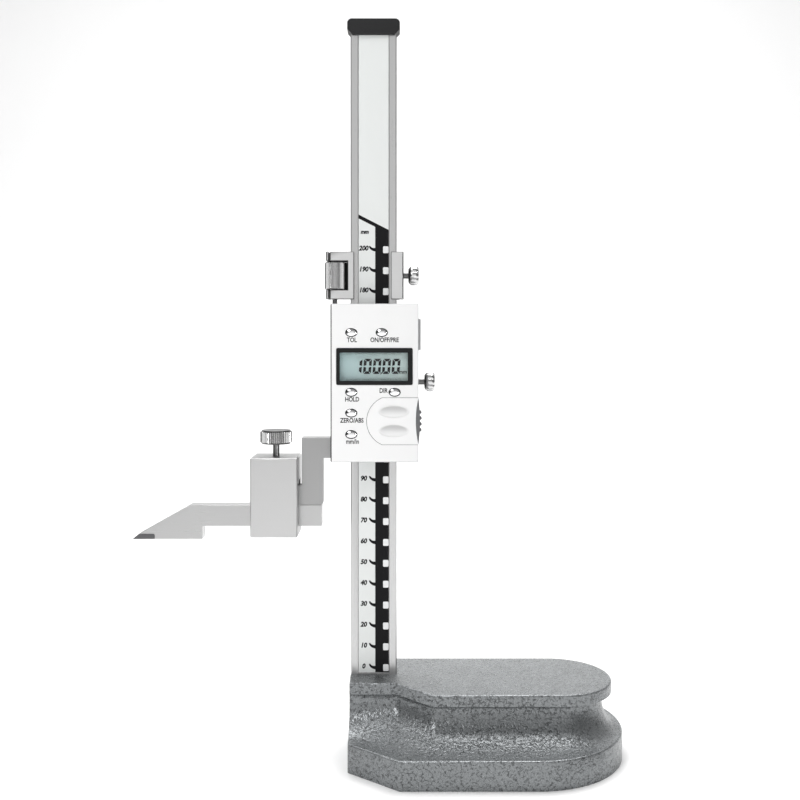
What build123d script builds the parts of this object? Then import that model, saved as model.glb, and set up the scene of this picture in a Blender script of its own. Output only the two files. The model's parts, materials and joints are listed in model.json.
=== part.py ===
from build123d import *
import os
from math import cos, pi, sin, sqrt

# Digital height gauge for a surface plate, measuring range 0 to 200 mm.
#
# A cast base stands on the plate and carries an upright steel beam with a printed scale.
# A measuring head slides on the beam. Its frame has a cranked jaw, and a box clamp holds a
# carbide-tipped scriber against the underside of the jaw's arm. A small carriage above the
# head can be locked to the beam, and a knurled nut in it draws the head up and down by a
# threaded rod for fine adjustment.
#
# Frame: millimetres, +Z up. The origin is on the ground underside of the base, under the
# middle of the beam's width and on the base's centre plane. The face of the gauge looks
# along -Y, and the scriber points along -X.

# ---------------------------------------------------------------- driving dimensions

# Reading at rest: the height of the scriber's measuring face above the plate.
reading = 100.0

# Clearances
running_gap = 0.05        # between a sliding or turning piece and its guide, per side
seat_gap = 0.05           # between a fitted piece and its pocket, per side
beam_face_gap = 0.10      # between the beam's wide faces and the sliding frames

# Cutters
cut_past = 1.0            # a cutting block runs this far past the face it opens
cut_touch = 0.01          # the least a cutter passes a face it must meet

# Base casting
base_length = 128.3
base_height = 35.0
foot_thickness = 13.0
foot_depth = 89.0         # front to back, at the widest
foot_end_depth = 52.0     # front to back, at the beam end
foot_shoulder = 23.3      # from the beam end to where the foot reaches its full depth
deck_thickness = 5.2
deck_depth = 52.4
deck_end_depth = 21.0
deck_neck = 21.7          # length of the narrow part of the deck, at its front
deck_back_corner = 5.0    # cut off the deck's back corner at the beam end
foot_second_shoulder = 40.0  # from the beam end, where the cove's bend dies out
deck_shoulder = 38.6      # from the beam end to where the deck reaches its full depth
deck_setback = 4.6        # the deck's nose stands this far inside the foot's nose
waist_inset = 4.6         # how far the grip undercuts the deck
neck_inset = 1.3          # how far it undercuts the narrow part
waist_drop = 2.6          # from the deck's underside to the narrowest level
cove_land = 1.0           # flat land left on the foot outside the cove
casting_edge = 0.9        # rounded casting edges
casting_join = 0.0001     # the parts of the casting meet to within this
relief_depth = 1.5        # relief in the underside, inside the ground rim
relief_rim = 9.0
relief_pad = 27.0         # the pad left under the beam, from the beam end
seat_depth = 2.0          # the beam stands in a seat cut this deep in the deck

# Beam, scale and cap
beam_width = 22.0
beam_thickness = 6.0
beam_front = 2.3          # the beam's front face lies this far behind the centre plane
beam_length = 312.5
beam_edge = 0.4
scale_groove_width = 14.9
scale_side_gap = 0.3      # between the strip and the groove's sides
scale_groove_depth = 0.8
scale_thickness = 0.6
scale_start = 0.8         # the scale starts this far above the deck
zero_above_deck = 3.0     # the scale's zero line above the deck
cap_wall = 1.55
cap_height = 7.5
cap_top = 2.4             # thickness over the end of the beam
cap_round = 2.2
cap_chamfer = 2.4

# Bolts that hold the beam on the base
beam_bolt_diameter = 4.0
beam_bolt_spacing = 12.0
beam_bolt_grip = 10.0     # thread length in the beam
beam_bolt_head = 7.0
beam_bolt_head_height = 4.0
beam_bolt_socket = 3.0    # across flats of the hexagon socket
beam_bolt_recess = 8.0    # height of the head's seat above the plate
beam_bolt_hole_gap = 0.2

# Measuring head: slider frame
head_height = 73.9
housing_left_overhang = 8.8
housing_right_overhang = 10.2
frame_proud = 0.25        # the frame shows this much beyond the housing's left edge
frame_inset_right = 0.8
frame_inset_ends = 0.6
frame_front_wall = 1.5
gib_thickness = 1.0
gib_width = 5.0
gib_end_inset = 3.0
sensor_window_width = 12.0
sensor_window_height = 44.0
sensor_gap = 0.3
keeper_thickness = 2.4
keeper_inset = 8.0        # from the ends of the frame
keeper_side_inset = 0.6
keeper_screw_diameter = 2.5
keeper_screw_inset = 5.5  # from the ends of the keeper
keeper_screw_side = 3.6   # from the beam slot to the screw
keeper_screw_length = 6.6
keeper_screw_head = 0.9   # radius of the head, as a share of the thread's diameter
keeper_screw_sink = 0.5   # the heads stand in the outer half of the keeper
keeper_edge = 0.4

# Jaw and scriber
jaw_reach = 14.2          # from the frame's left side to the outside of the leg
jaw_bar_height = 9.7
jaw_leg_width = 10.3
jaw_arm_height = 9.2
jaw_arm_length = 21.8     # from the leg to the arm's free end
jaw_corner = 1.0
scriber_height = 16.2
scriber_bar_height = 10.0
scriber_length = 90.3
scriber_toe = 33.4        # length of the deep part, from the tip
scriber_slope = 27.4      # length of the sloping nose
scriber_end_gap = 0.7     # the bar's free end stands this far short of the leg's right side
tip_length = 10.6
tip_height = 2.5
tip_slope = 3.1
tip_corner = 0.8

# Box clamp for the scriber
clamp_width = 22.4
clamp_depth = 20.0
clamp_floor_gap = 1.8     # the box ends this far above the scriber's measuring face
clamp_top_wall = 11.3
clamp_screw_room = 2.6    # above the arm, inside the box
clamp_leg_gap = 1.4
clamp_edge = 0.5
clamp_stud_diameter = 3.2
clamp_stud_exposed = 5.9
clamp_knob_diameter = 15.1
clamp_knob_height = 6.4
clamp_knob_teeth = 44
clamp_knob_tooth = 0.45   # depth of the knurl
clamp_knob_edge = 0.7

# Lock screws of the head and the carriage
lock_stud_diameter = 3.0
lock_knob_diameter = 9.7
lock_knob_height = 5.0
lock_knob_lobes = 8
lock_knob_edge = 0.8
lock_knob_flute = 0.42    # radius of a flute, as a share of the lobes' spacing
knob_bore = 0.6           # depth of the stud's hole, as a share of the knob's height
head_lock_height = 36.8   # above the lower edge of the head
head_lock_exposed = 3.9
carriage_lock_exposed = 2.3
gib_screw_diameter = 3.0
gib_screw_length = 7.0
gib_screw_inset = 22.0    # from the ends of the head
gib_screw_slot = 0.6
gib_screw_slot_depth = 1.0

# Fine adjustment: carriage, nut and rod
carriage_gap = 2.4        # between the head and the carriage at rest
carriage_height = 22.6
carriage_left = 22.6      # from the beam's middle to the outside of the left block
carriage_right = 3.2      # width of the right block beyond the beam
carriage_lip_left = 1.7   # how far the front lips reach over the beam
carriage_lip_right = 2.7
carriage_front_wall = 2.4
carriage_back_wall = 2.4
carriage_edge = 0.5
carriage_gib_inset = 1.0  # from the carriage's lower and upper faces
carriage_lock_height = 11.4
nut_window_height = 13.8
nut_window_bottom = 4.4   # above the carriage's lower face
nut_window_wall = 1.2     # between the window and the beam slot
nut_diameter = 9.6
nut_end_gap = 0.3
nut_teeth = 40
nut_tooth = 0.3
nut_edge = 0.5
rod_diameter = 2.5
rod_from_beam = 7.7       # from the beam's left edge to the rod's axis
rod_in_frame = 6.5
rod_end_gap = 0.5         # the rod ends this far below the carriage's top
ear_slit = 0.8            # saw cut in the front of each ear
ear_slit_from_rod = 2.25  # from the rod's axis to the cut

# Housing of the head
housing_depth = 10.7
housing_wall = 1.5
housing_corner = 0.8
housing_edge = 0.4
housing_screw_diameter = 2.0
housing_screw_inset = 4.2
housing_screw_side = 3.4
housing_boss_diameter = 5.0
housing_screw_bite = 5.0
housing_screw_spare = 0.5 # the bore runs this far past the screw's tip
housing_screw_low = 0.3   # the heads stand this far below the frame's back
screw_slot_width = 0.5
screw_slot_depth = 0.5

# Display
bezel_left = 2.7          # from the housing's left side
bezel_bottom = 36.0       # from the housing's lower edge
bezel_width = 35.6
bezel_height = 17.2
bezel_proud = 0.25
bezel_flange = 0.8
bezel_flange_thickness = 0.8
view_left = 1.6           # border of the bezel round the view
view_right = 2.25
view_top = 2.15
view_bottom = 1.9
view_corner = 0.4
window_ledge = 0.5
window_thickness = 1.2
lcd_margin = 0.9
lcd_thickness = 2.0
zebra_width = 1.8
zebra_length = 26.0

# Electronics
board_thickness = 1.0
board_side_inset = 2.3
board_end_inset = 8.0
switch_size = 3.2
switch_height = 1.6
switch_plunger = 0.5
switch_plunger_size = 0.28 # its radius, as a share of the switch
cell_diameter = 11.6
cell_height = 5.4
cell_shift = 1.0          # the cell sits this far left of the middle of its bay
tray_wall = 1.1
tray_floor = 0.7
tray_depth = 3.4
contact_thickness = 0.3
contact_tab_width = 2.0
contact_end_gap = 0.3     # the tabs end this far inside the cell's rim

# Buttons: ellipses, placed from the housing's left side and lower edge
button_width = 5.5
button_height = 3.9
button_proud = 0.7
button_round = 0.6        # rounding of the rim, as a share of how proud it stands
button_gap = 0.12
button_flange = 0.5
button_flange_thickness = 0.6
button_clear = 0.7        # between a button's stem and its switch
button_left_column = 9.7
button_on_column = 23.9
button_dir_column = 29.9
button_row_top = 60.4
button_row_hold = 32.6
button_row_zero = 22.9
button_row_unit = 12.9

# Battery cover
cover_left = 16.9         # from the housing's left side to the round end
cover_bottom = 8.2
cover_height = 21.8
cover_bulge = 7.2         # how far the round end bulges
cover_gap = 0.12
cover_tongue = 0.8
cover_tongue_thickness = 0.6
cover_tongue_start = 34.0 # from the housing's left side
cover_end_depth = 5.5
cover_tongue_root = 1.6   # how far a tongue runs on under the cover
cover_end_bulge = 0.75    # how far the end wall bulges beyond the housing's side
cover_ribs = 4
cover_rib_radius = 0.8
cover_rib_pitch = 2.75
cover_rib_inset = 0.6     # from the front and back of the end wall
dent_length = 14.2
dent_height = 5.8
dent_depth = 0.75
dent_spacing = 8.9
dent_from_round_end = 12.6

# Data port in the head's right side
port_length = 10.0
port_width = 3.0
port_bottom = 54.5        # above the housing's lower edge
port_from_front = 5.2
port_cover_margin_long = 2.3
port_cover_margin_wide = 1.0
port_cover_thickness = 1.15
port_cover_edge = 0.4

# ---------------------------------------------------------------- worked-out places

base_end = -beam_width / 2
base_nose = base_end + base_length
deck_nose = base_nose - deck_setback
deck_underside = base_height - deck_thickness
waist_level = deck_underside - waist_drop

beam_left = -beam_width / 2
beam_right = beam_width / 2
beam_back = beam_front + beam_thickness
beam_middle = (beam_front + beam_back) / 2
beam_foot = base_height - seat_depth
beam_top = beam_foot + beam_length
cap_bottom = beam_top + cap_top - cap_height

slot_front = beam_front - beam_face_gap
slot_back = beam_back + beam_face_gap
slot_left = beam_left - running_gap
gib_inner = beam_right + running_gap
gib_outer = gib_inner + gib_thickness
slot_right = gib_outer + running_gap

head_bottom = base_height + zero_above_deck + reading
head_top = head_bottom + head_height
head_middle = (head_bottom + head_top) / 2
housing_left = beam_left - housing_left_overhang
housing_right = beam_right + housing_right_overhang
frame_front = slot_front - frame_front_wall
frame_left = housing_left - frame_proud
frame_right = housing_right - frame_inset_right
frame_bottom = head_bottom + frame_inset_ends
frame_top = head_top - frame_inset_ends
housing_front = frame_front - housing_depth
housing_inside = housing_front + housing_wall

scriber_face = reading
scriber_top = scriber_face + scriber_height
scriber_bar_bottom = scriber_top - scriber_bar_height
arm_bottom = scriber_top + running_gap
arm_top = arm_bottom + jaw_arm_height
leg_left = frame_left - jaw_reach
leg_right = leg_left + jaw_leg_width
arm_end = leg_left - jaw_arm_length
jaw_bar_bottom = frame_bottom
jaw_bar_top = jaw_bar_bottom + jaw_bar_height
scriber_end = leg_right - scriber_end_gap
scriber_tip = scriber_end - scriber_length
jaw_middle = (frame_front + slot_back) / 2

clamp_right = leg_left - clamp_leg_gap
clamp_left = clamp_right - clamp_width
clamp_middle = (clamp_left + clamp_right) / 2
clamp_bottom = scriber_face + clamp_floor_gap
clamp_cavity_top = arm_top + clamp_screw_room
clamp_top = clamp_cavity_top + clamp_top_wall

carriage_bottom = head_top + carriage_gap
carriage_top = carriage_bottom + carriage_height
carriage_outer_left = -carriage_left
carriage_outer_right = slot_right + carriage_right - gib_thickness
carriage_front = slot_front - carriage_front_wall
carriage_back = slot_back + carriage_back_wall
window_bottom = carriage_bottom + nut_window_bottom
window_top = window_bottom + nut_window_height
window_right = slot_left - nut_window_wall
rod_x = beam_left - rod_from_beam

board_front = frame_front - board_thickness
board_left = housing_left + board_side_inset
board_right = housing_right - board_side_inset
board_bottom = head_bottom + board_end_inset
board_top = head_top - board_end_inset
switch_front = board_front - switch_height - switch_plunger

bezel_x = (housing_left + bezel_left, housing_left + bezel_left + bezel_width)
bezel_z = (head_bottom + bezel_bottom, head_bottom + bezel_bottom + bezel_height)
view_x = (bezel_x[0] + view_left, bezel_x[1] - view_right)
view_z = (bezel_z[0] + view_bottom, bezel_z[1] - view_top)
bezel_back = housing_inside + bezel_flange_thickness
window_back = bezel_back
lcd_back = window_back + lcd_thickness

cover_round_end = housing_left + cover_left
cover_shoulder = cover_round_end + cover_bulge
cover_z = (head_bottom + cover_bottom, head_bottom + cover_bottom + cover_height)
cover_middle = (cover_z[0] + cover_z[1]) / 2
cover_back = housing_front + cover_end_depth
tongue_x = (housing_left + cover_tongue_start, housing_right - housing_wall)
cell_x = (cover_shoulder + housing_right - housing_wall) / 2 - cell_shift
cell_front = housing_inside + cover_tongue_thickness + 2 * seat_gap
cell_back = cell_front + cell_height

port_z = (head_bottom + port_bottom, head_bottom + port_bottom + port_length)
port_y = (housing_front + port_from_front, housing_front + port_from_front + port_width)

button_places = {
    "tolerance": (button_left_column, button_row_top),
    "on_off": (button_on_column, button_row_top),
    "hold": (button_left_column, button_row_hold),
    "direction": (button_dir_column, button_row_hold),
    "zero": (button_left_column, button_row_zero),
    "unit": (button_left_column, button_row_unit),
}


# ---------------------------------------------------------------- helpers


def block(x, y, z):
    """A box from its lowest to its highest value along each axis."""
    size = (x[1] - x[0], y[1] - y[0], z[1] - z[0])
    middle = ((x[0] + x[1]) / 2, (y[0] + y[1]) / 2, (z[0] + z[1]) / 2)
    return Pos(*middle) * Box(*size)


def rod_along_x(radius, x, y, z):
    """A cylinder along X, from x[0] to x[1]."""
    middle = Pos((x[0] + x[1]) / 2, y, z)
    return middle * Rot(0, 90, 0) * Cylinder(radius, x[1] - x[0])


def rod_along_y(radius, x, y, z):
    """A cylinder along Y, from y[0] to y[1]."""
    middle = Pos(x, (y[0] + y[1]) / 2, z)
    return middle * Rot(90, 0, 0) * Cylinder(radius, y[1] - y[0])


def rod_along_z(radius, x, y, z):
    """A cylinder along Z, from z[0] to z[1]."""
    middle = Pos(x, y, (z[0] + z[1]) / 2)
    return middle * Cylinder(radius, z[1] - z[0])


def plate_from_profile(points, y):
    """A plate with an outline in the XZ plane, from y[0] to y[1]."""
    outline = make_face(Polyline(*[(px, 0, pz) for px, pz in points], close=True))
    return Pos(0, y[0], 0) * extrude(outline, amount=y[1] - y[0], dir=(0, 1, 0))


def on_front(sketch, y):
    """Stands a flat sketch up in the XZ plane at that y, seen from the front."""
    return Plane((0, y, 0), x_dir=(1, 0, 0), z_dir=(0, -1, 0)) * sketch


def front_prism(sketch, y):
    """A prism of a front-view sketch, from y[0] to y[1]."""
    return extrude(on_front(sketch, y[0]), amount=y[1] - y[0], dir=(0, 1, 0))


def knurled_disc(diameter, height, teeth, tooth_depth, edge):
    """A straight-knurled disc standing on z = 0, with bevelled edges."""
    outer = diameter / 2
    inner = outer - tooth_depth
    points = []
    for index in range(teeth):
        for radius, share in ((outer, 0.0), (inner, 0.5)):
            angle = 2 * pi * (index + share) / teeth
            points.append((radius * cos(angle), radius * sin(angle)))
    disc = extrude(make_face(Polyline(*points, close=True)), amount=height)
    blank = Pos(0, 0, height / 2) * Cylinder(outer, height)
    blank = chamfer(blank.edges().filter_by(GeomType.CIRCLE), edge)
    return disc & blank


def lobed_disc(diameter, height, lobes, edge):
    """A scalloped thumb knob standing on z = 0, with bevelled edges."""
    outer = diameter / 2
    flute = outer * sin(pi / lobes) * lock_knob_flute
    blank = Pos(0, 0, height / 2) * Cylinder(outer, height)
    blank = chamfer(blank.edges().filter_by(GeomType.CIRCLE), edge)
    for index in range(lobes):
        angle = 2 * pi * (index + 0.5) / lobes
        place = Pos(outer * cos(angle), outer * sin(angle), height / 2)
        blank -= place * Cylinder(flute, height)
    return blank


# ---------------------------------------------------------------- base


def base_outline(level, front, back, nose):
    """The base's outline at one level, as a face.

    front and back are the (x, half depth) of each side's three corners, from the beam end
    towards the rounded end. nose is the x of the rounded end, whose radius is the last
    half depth.
    """
    widest = front[-1][1]
    arc_start = (nose - widest, -widest)
    front_line = [(px, -half) for px, half in front] + [arc_start]
    back_line = [(nose - widest, widest)] + list(reversed(back))
    edges = [Line(front_line[i], front_line[i + 1]) for i in range(3)]
    edges.append(ThreePointArc(arc_start, (nose, 0), back_line[0]))
    edges += [Line(back_line[i], back_line[i + 1]) for i in range(3)]
    edges.append(Line(back_line[3], front_line[0]))
    return Pos(0, 0, level) * make_face(Wire(edges))


def foot_corners(inset=0.0):
    """The foot's three corners on one side: both sides are alike."""
    widest = foot_depth / 2 - inset
    return [
        (base_end, foot_end_depth / 2 - inset),
        (base_end + foot_shoulder, widest),
        (base_end + foot_second_shoulder, widest),
    ]


def deck_corners(inset=0.0, neck=0.0):
    """The deck's front corners, with its neck, and its back ones, nearly square."""
    widest = deck_depth / 2 - inset
    narrow = deck_end_depth / 2 - neck
    front = [
        (base_end, narrow),
        (base_end + deck_neck, narrow),
        (base_end + deck_shoulder, widest),
    ]
    back = [
        (base_end, widest - deck_back_corner),
        (base_end + deck_back_corner, widest),
        (base_end + deck_shoulder, widest),
    ]
    return front, back


def mix(low, high, share):
    """Corners part of the way from low to high."""
    return [
        (a[0] + (b[0] - a[0]) * share, a[1] + (b[1] - a[1]) * share)
        for a, b in zip(low, high)
    ]


def cove_outline(level, spread, flare):
    """A level of the grip: spread 0 is the waist, and 1 the foot or the deck's rim."""
    front, back = deck_corners(waist_inset, neck_inset)
    nose = deck_nose - waist_inset
    if flare == "foot":
        far_front = far_back = foot_corners(cove_land)
        far_nose = base_nose - cove_land
    else:
        far_front, far_back = deck_corners(casting_edge, casting_edge / 2)
        far_nose = deck_nose - casting_edge
    return base_outline(
        level,
        mix(front, far_front, spread),
        mix(back, far_back, spread),
        nose + (far_nose - nose) * spread,
    )


def make_base():
    foot = base_outline(0, foot_corners(), foot_corners(), base_nose)
    foot = extrude(foot, amount=foot_thickness)
    foot_top = foot.faces().sort_by(Axis.Z)[-1].edges().filter_by_position(
        Axis.X, base_end + cut_touch, base_nose + cut_past, inclusive=(False, True)
    )
    foot = fillet(foot_top, casting_edge)
    deck = base_outline(deck_underside, *deck_corners(), deck_nose)
    deck = extrude(deck, amount=deck_thickness)
    deck_edges = deck.faces().sort_by(Axis.Z)[-1].edges().filter_by_position(
        Axis.X, base_end + cut_touch, base_nose + cut_past, inclusive=(False, True)
    )
    deck = fillet(deck_edges, casting_edge)

    # The grip is a cove: an elliptic sweep from the foot up to the waist, and a short one
    # from the waist back out to the deck's rim.
    lower = []
    for u in (1.0, 0.97, 0.88, 0.72, 0.5, 0.25, 0.0):
        level = waist_level - (waist_level - foot_thickness) * u
        lower.append(cove_outline(level, 1 - sqrt(1 - u * u), "foot"))
    upper = []
    for u in (0.0, 0.5, 0.85, 1.0):
        level = waist_level + (deck_underside - waist_level) * u
        upper.append(cove_outline(level, 1 - sqrt(1 - u * u), "deck"))
    lower_half = foot.fuse(loft(lower), tol=casting_join)
    upper_half = deck.fuse(loft(upper), tol=casting_join)
    base = lower_half.fuse(upper_half, tol=casting_join)

    # Seat for the beam, open at the beam end.
    seat_x = (base_end - cut_past, beam_right + seat_gap)
    seat_y = (beam_front - seat_gap, beam_back + seat_gap)
    base -= block(seat_x, seat_y, (beam_foot, base_height + cut_past))

    # Bolt holes from the underside.
    for side in (-1, 1):
        bolt_x = side * beam_bolt_spacing / 2
        clear = beam_bolt_diameter / 2 + beam_bolt_hole_gap
        base -= rod_along_z(clear, bolt_x, beam_middle, (-cut_past, beam_foot + cut_past))
        head_top_level = beam_bolt_recess + beam_bolt_head_height
        sink = beam_bolt_head / 2 + beam_bolt_hole_gap
        base -= rod_along_z(sink, bolt_x, beam_middle, (-cut_past, head_top_level))

    # Relief that leaves a ground rim and a pad under the beam.
    rim_half = foot_depth / 2 - relief_rim
    pad_x = base_end + relief_pad
    arc_start = base_nose - foot_depth / 2
    relief = make_face(
        Wire(
            [
                Line((pad_x, -rim_half), (arc_start, -rim_half)),
                ThreePointArc(
                    (arc_start, -rim_half), (arc_start + rim_half, 0), (arc_start, rim_half)
                ),
                Line((arc_start, rim_half), (pad_x, rim_half)),
                Line((pad_x, rim_half), (pad_x, -rim_half)),
            ]
        )
    )
    return base - extrude(relief, amount=relief_depth)


def make_beam():
    beam = block((beam_left, beam_right), (beam_front, beam_back), (beam_foot, beam_top))
    beam = chamfer(beam.edges().filter_by(Axis.Z), beam_edge)
    groove = scale_groove_width / 2
    beam -= block(
        (-groove, groove),
        (beam_front - cut_past, beam_front + scale_groove_depth),
        (base_height, beam_top + cut_past),
    )
    for side in (-1, 1):
        hole = beam_bolt_diameter / 2 + seat_gap
        depth = (beam_foot - cut_past, beam_foot + beam_bolt_grip + cut_past)
        beam -= rod_along_z(hole, side * beam_bolt_spacing / 2, beam_middle, depth)
    return beam


def make_scale():
    half = scale_groove_width / 2 - scale_side_gap
    back = beam_front + scale_groove_depth
    return block(
        (-half, half),
        (back - scale_thickness, back),
        (base_height + scale_start, cap_bottom - seat_gap),
    )


def make_cap():
    left = beam_left - cap_wall
    right = beam_right + cap_wall
    top = beam_top + cap_top
    outline = [
        (left + cap_chamfer, cap_bottom),
        (right - cap_chamfer, cap_bottom),
        (right, cap_bottom + cap_chamfer),
        (right, top),
        (left, top),
        (left, cap_bottom + cap_chamfer),
    ]
    cap = plate_from_profile(outline, (beam_front - cap_wall, beam_back + cap_wall))
    cap = fillet(cap.edges().filter_by(Axis.Y).group_by(Axis.Z)[-1], cap_round)
    socket = block(
        (beam_left - seat_gap, beam_right + seat_gap),
        (beam_front - seat_gap, beam_back + seat_gap),
        (cap_bottom - cut_past, beam_top),
    )
    return cap - socket


def make_beam_bolts():
    bolts = []
    for side in (-1, 1):
        bolt_x = side * beam_bolt_spacing / 2
        seat = beam_bolt_recess + beam_bolt_head_height
        shank = rod_along_z(
            beam_bolt_diameter / 2, bolt_x, beam_middle, (seat, beam_foot + beam_bolt_grip)
        )
        head = rod_along_z(
            beam_bolt_head / 2, bolt_x, beam_middle, (beam_bolt_recess, seat)
        )
        socket = extrude(
            Pos(bolt_x, beam_middle, beam_bolt_recess)
            * RegularPolygon(beam_bolt_socket / 2, 6, major_radius=False),
            amount=beam_bolt_head_height / 2,
        )
        bolts.append(shank + head - socket)
    return bolts


# ---------------------------------------------------------------- slider frame and jaw


def housing_screw_places():
    left = slot_left - housing_screw_side
    right = slot_right + housing_screw_side
    low = head_bottom + housing_screw_inset
    high = head_top - housing_screw_inset
    return [(px, pz) for px in (left, right) for pz in (low, high)]


def keeper_screw_places():
    left = slot_left - keeper_screw_side
    right = slot_right + keeper_screw_side
    low = frame_bottom + keeper_inset + keeper_screw_inset
    high = frame_top - keeper_inset - keeper_screw_inset
    return [(px, pz) for px in (left, right) for pz in (low, high)]


def gib_screw_levels():
    return (head_bottom + gib_screw_inset, head_top - gib_screw_inset)


def make_slider_frame():
    body = block(
        (frame_left, frame_right), (frame_front, slot_back), (frame_bottom, frame_top)
    )
    jaw_outline = [
        (frame_left, jaw_bar_bottom),
        (leg_right, jaw_bar_bottom),
        (leg_right, arm_bottom + jaw_corner),
        (leg_right - jaw_corner, arm_bottom),
        (arm_end, arm_bottom),
        (arm_end, arm_top),
        (leg_left, arm_top),
        (leg_left, jaw_bar_top),
        (frame_left, jaw_bar_top),
    ]
    body += plate_from_profile(jaw_outline, (frame_front, slot_back))
    body -= block(
        (slot_left, slot_right), (slot_front, slot_back + cut_past), (head_bottom, head_top)
    )
    window_half = sensor_window_width / 2
    body -= block(
        (-window_half, window_half),
        (frame_front - cut_past, slot_front + cut_past),
        (head_middle - sensor_window_height / 2, head_middle + sensor_window_height / 2),
    )
    # Rod, lock screw and gib screws.
    rod_hole = rod_diameter / 2 + seat_gap
    body -= rod_along_z(rod_hole, rod_x, beam_middle, (frame_top - rod_in_frame, head_top))
    lock_level = head_bottom + head_lock_height
    for level in (lock_level, *gib_screw_levels()):
        stud = lock_stud_diameter if level == lock_level else gib_screw_diameter
        body -= rod_along_x(
            stud / 2 + running_gap, (slot_right - cut_past, frame_right + cut_past), beam_middle, level
        )
    # Screws from the back, for the housing and for the keeper.
    for px, pz in housing_screw_places():
        hole = housing_screw_diameter / 2 + seat_gap
        body -= rod_along_y(hole, px, (frame_front - cut_past, slot_back + cut_past), pz)
        sink = housing_screw_diameter + seat_gap
        body -= rod_along_y(
            sink, px, (slot_back - housing_screw_diameter, slot_back + cut_past), pz
        )
    for px, pz in keeper_screw_places():
        hole = keeper_screw_diameter / 2 + seat_gap
        end = slot_back + keeper_thickness - keeper_screw_length - seat_gap
        body -= rod_along_y(hole, px, (end, slot_back + cut_past), pz)
    return body


def make_gib(bottom, top):
    half = gib_width / 2
    return block(
        (gib_inner, gib_outer), (beam_middle - half, beam_middle + half), (bottom, top)
    )


def make_keeper():
    plate = block(
        (frame_left + keeper_side_inset, frame_right - keeper_side_inset),
        (slot_back, slot_back + keeper_thickness),
        (frame_bottom + keeper_inset, frame_top - keeper_inset),
    )
    plate = chamfer(plate.faces().sort_by(Axis.Y)[-1].edges(), keeper_edge)
    for px, pz in keeper_screw_places():
        hole = keeper_screw_diameter / 2 + seat_gap
        plate -= rod_along_y(hole, px, (slot_back - cut_past, slot_back + keeper_thickness + cut_past), pz)
        sink = keeper_screw_diameter * keeper_screw_head + seat_gap
        depth = (slot_back + keeper_thickness * keeper_screw_sink, slot_back + keeper_thickness + cut_past)
        plate -= rod_along_y(sink, px, depth, pz)
    return plate


def slotted_screw(diameter, head_radius, head_y, tip_y, px, pz):
    """A cheese-head screw along Y: its head fills head_y, and its shank ends at tip_y."""
    head = rod_along_y(head_radius, px, head_y, pz)
    shank = rod_along_y(diameter / 2, px, (tip_y, head_y[0]), pz)
    slot_half = head_radius
    slot = block(
        (px - slot_half, px + slot_half),
        (head_y[1] - screw_slot_depth, head_y[1] + cut_past),
        (pz - screw_slot_width / 2, pz + screw_slot_width / 2),
    )
    return head + shank - slot


def make_keeper_screws():
    back = slot_back + keeper_thickness
    head_y = (slot_back + keeper_thickness * keeper_screw_sink, back)
    return [
        slotted_screw(
            keeper_screw_diameter,
            keeper_screw_diameter * keeper_screw_head,
            head_y,
            back - keeper_screw_length,
            px,
            pz,
        )
        for px, pz in keeper_screw_places()
    ]


def make_housing_screws():
    head_y = (slot_back - housing_screw_diameter, slot_back - housing_screw_low)
    return [
        slotted_screw(
            housing_screw_diameter,
            housing_screw_diameter,
            head_y,
            frame_front - housing_screw_bite,
            px,
            pz,
        )
        for px, pz in housing_screw_places()
    ]


def make_gib_screws():
    screws = []
    start = slot_right + running_gap
    for level in gib_screw_levels():
        screw = rod_along_x(
            gib_screw_diameter / 2, (start, start + gib_screw_length), beam_middle, level
        )
        end = start + gib_screw_length
        screw -= block(
            (end - gib_screw_slot_depth, end + cut_past),
            (beam_middle - gib_screw_diameter, beam_middle + gib_screw_diameter),
            (level - gib_screw_slot / 2, level + gib_screw_slot / 2),
        )
        screws.append(screw)
    return screws


def make_lock_screw(outside, exposed, level):
    """A lobed knob and its stud, as two pieces, pressing the gib on to the beam."""
    start = slot_right + running_gap
    knob_start = outside + exposed
    bury = lock_knob_height * knob_bore
    stud = rod_along_x(
        lock_stud_diameter / 2, (start, knob_start + bury), beam_middle, level
    )
    disc = lobed_disc(lock_knob_diameter, lock_knob_height, lock_knob_lobes, lock_knob_edge)
    disc -= rod_along_z(lock_stud_diameter / 2 + seat_gap / 2, 0, 0, (-cut_past, bury))
    knob = Pos(knob_start, beam_middle, level) * Rot(0, 90, 0) * disc
    return knob, stud


# ---------------------------------------------------------------- scriber and clamp


def make_scriber():
    toe = scriber_tip + scriber_toe
    tip_end = scriber_tip + tip_length
    outline = [
        (scriber_tip + tip_slope, scriber_face + tip_height),
        (scriber_tip + scriber_slope, scriber_top),
        (scriber_end, scriber_top),
        (scriber_end, scriber_bar_bottom),
        (toe, scriber_bar_bottom),
        (toe, scriber_face),
        (tip_end, scriber_face),
        (tip_end, scriber_face + tip_height),
    ]
    bar = plate_from_profile(outline, (frame_front, slot_back))
    pocket = bar.edges().filter_by(Axis.Y).sort_by(
        lambda e: abs(e.center().X - tip_end) + abs(e.center().Z - scriber_face - tip_height)
    )[0]
    return fillet(pocket, tip_corner + seat_gap)


def make_carbide_tip():
    outline = [
        (scriber_tip, scriber_face),
        (scriber_tip + tip_slope, scriber_face + tip_height),
        (scriber_tip + tip_length, scriber_face + tip_height),
        (scriber_tip + tip_length, scriber_face),
    ]
    tip = plate_from_profile(outline, (frame_front, slot_back))
    corner = tip.edges().filter_by(Axis.Y).sort_by(
        lambda e: abs(e.center().X - scriber_tip - tip_length)
        + abs(e.center().Z - scriber_face - tip_height)
    )[0]
    return fillet(corner, tip_corner + seat_gap)


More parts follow.
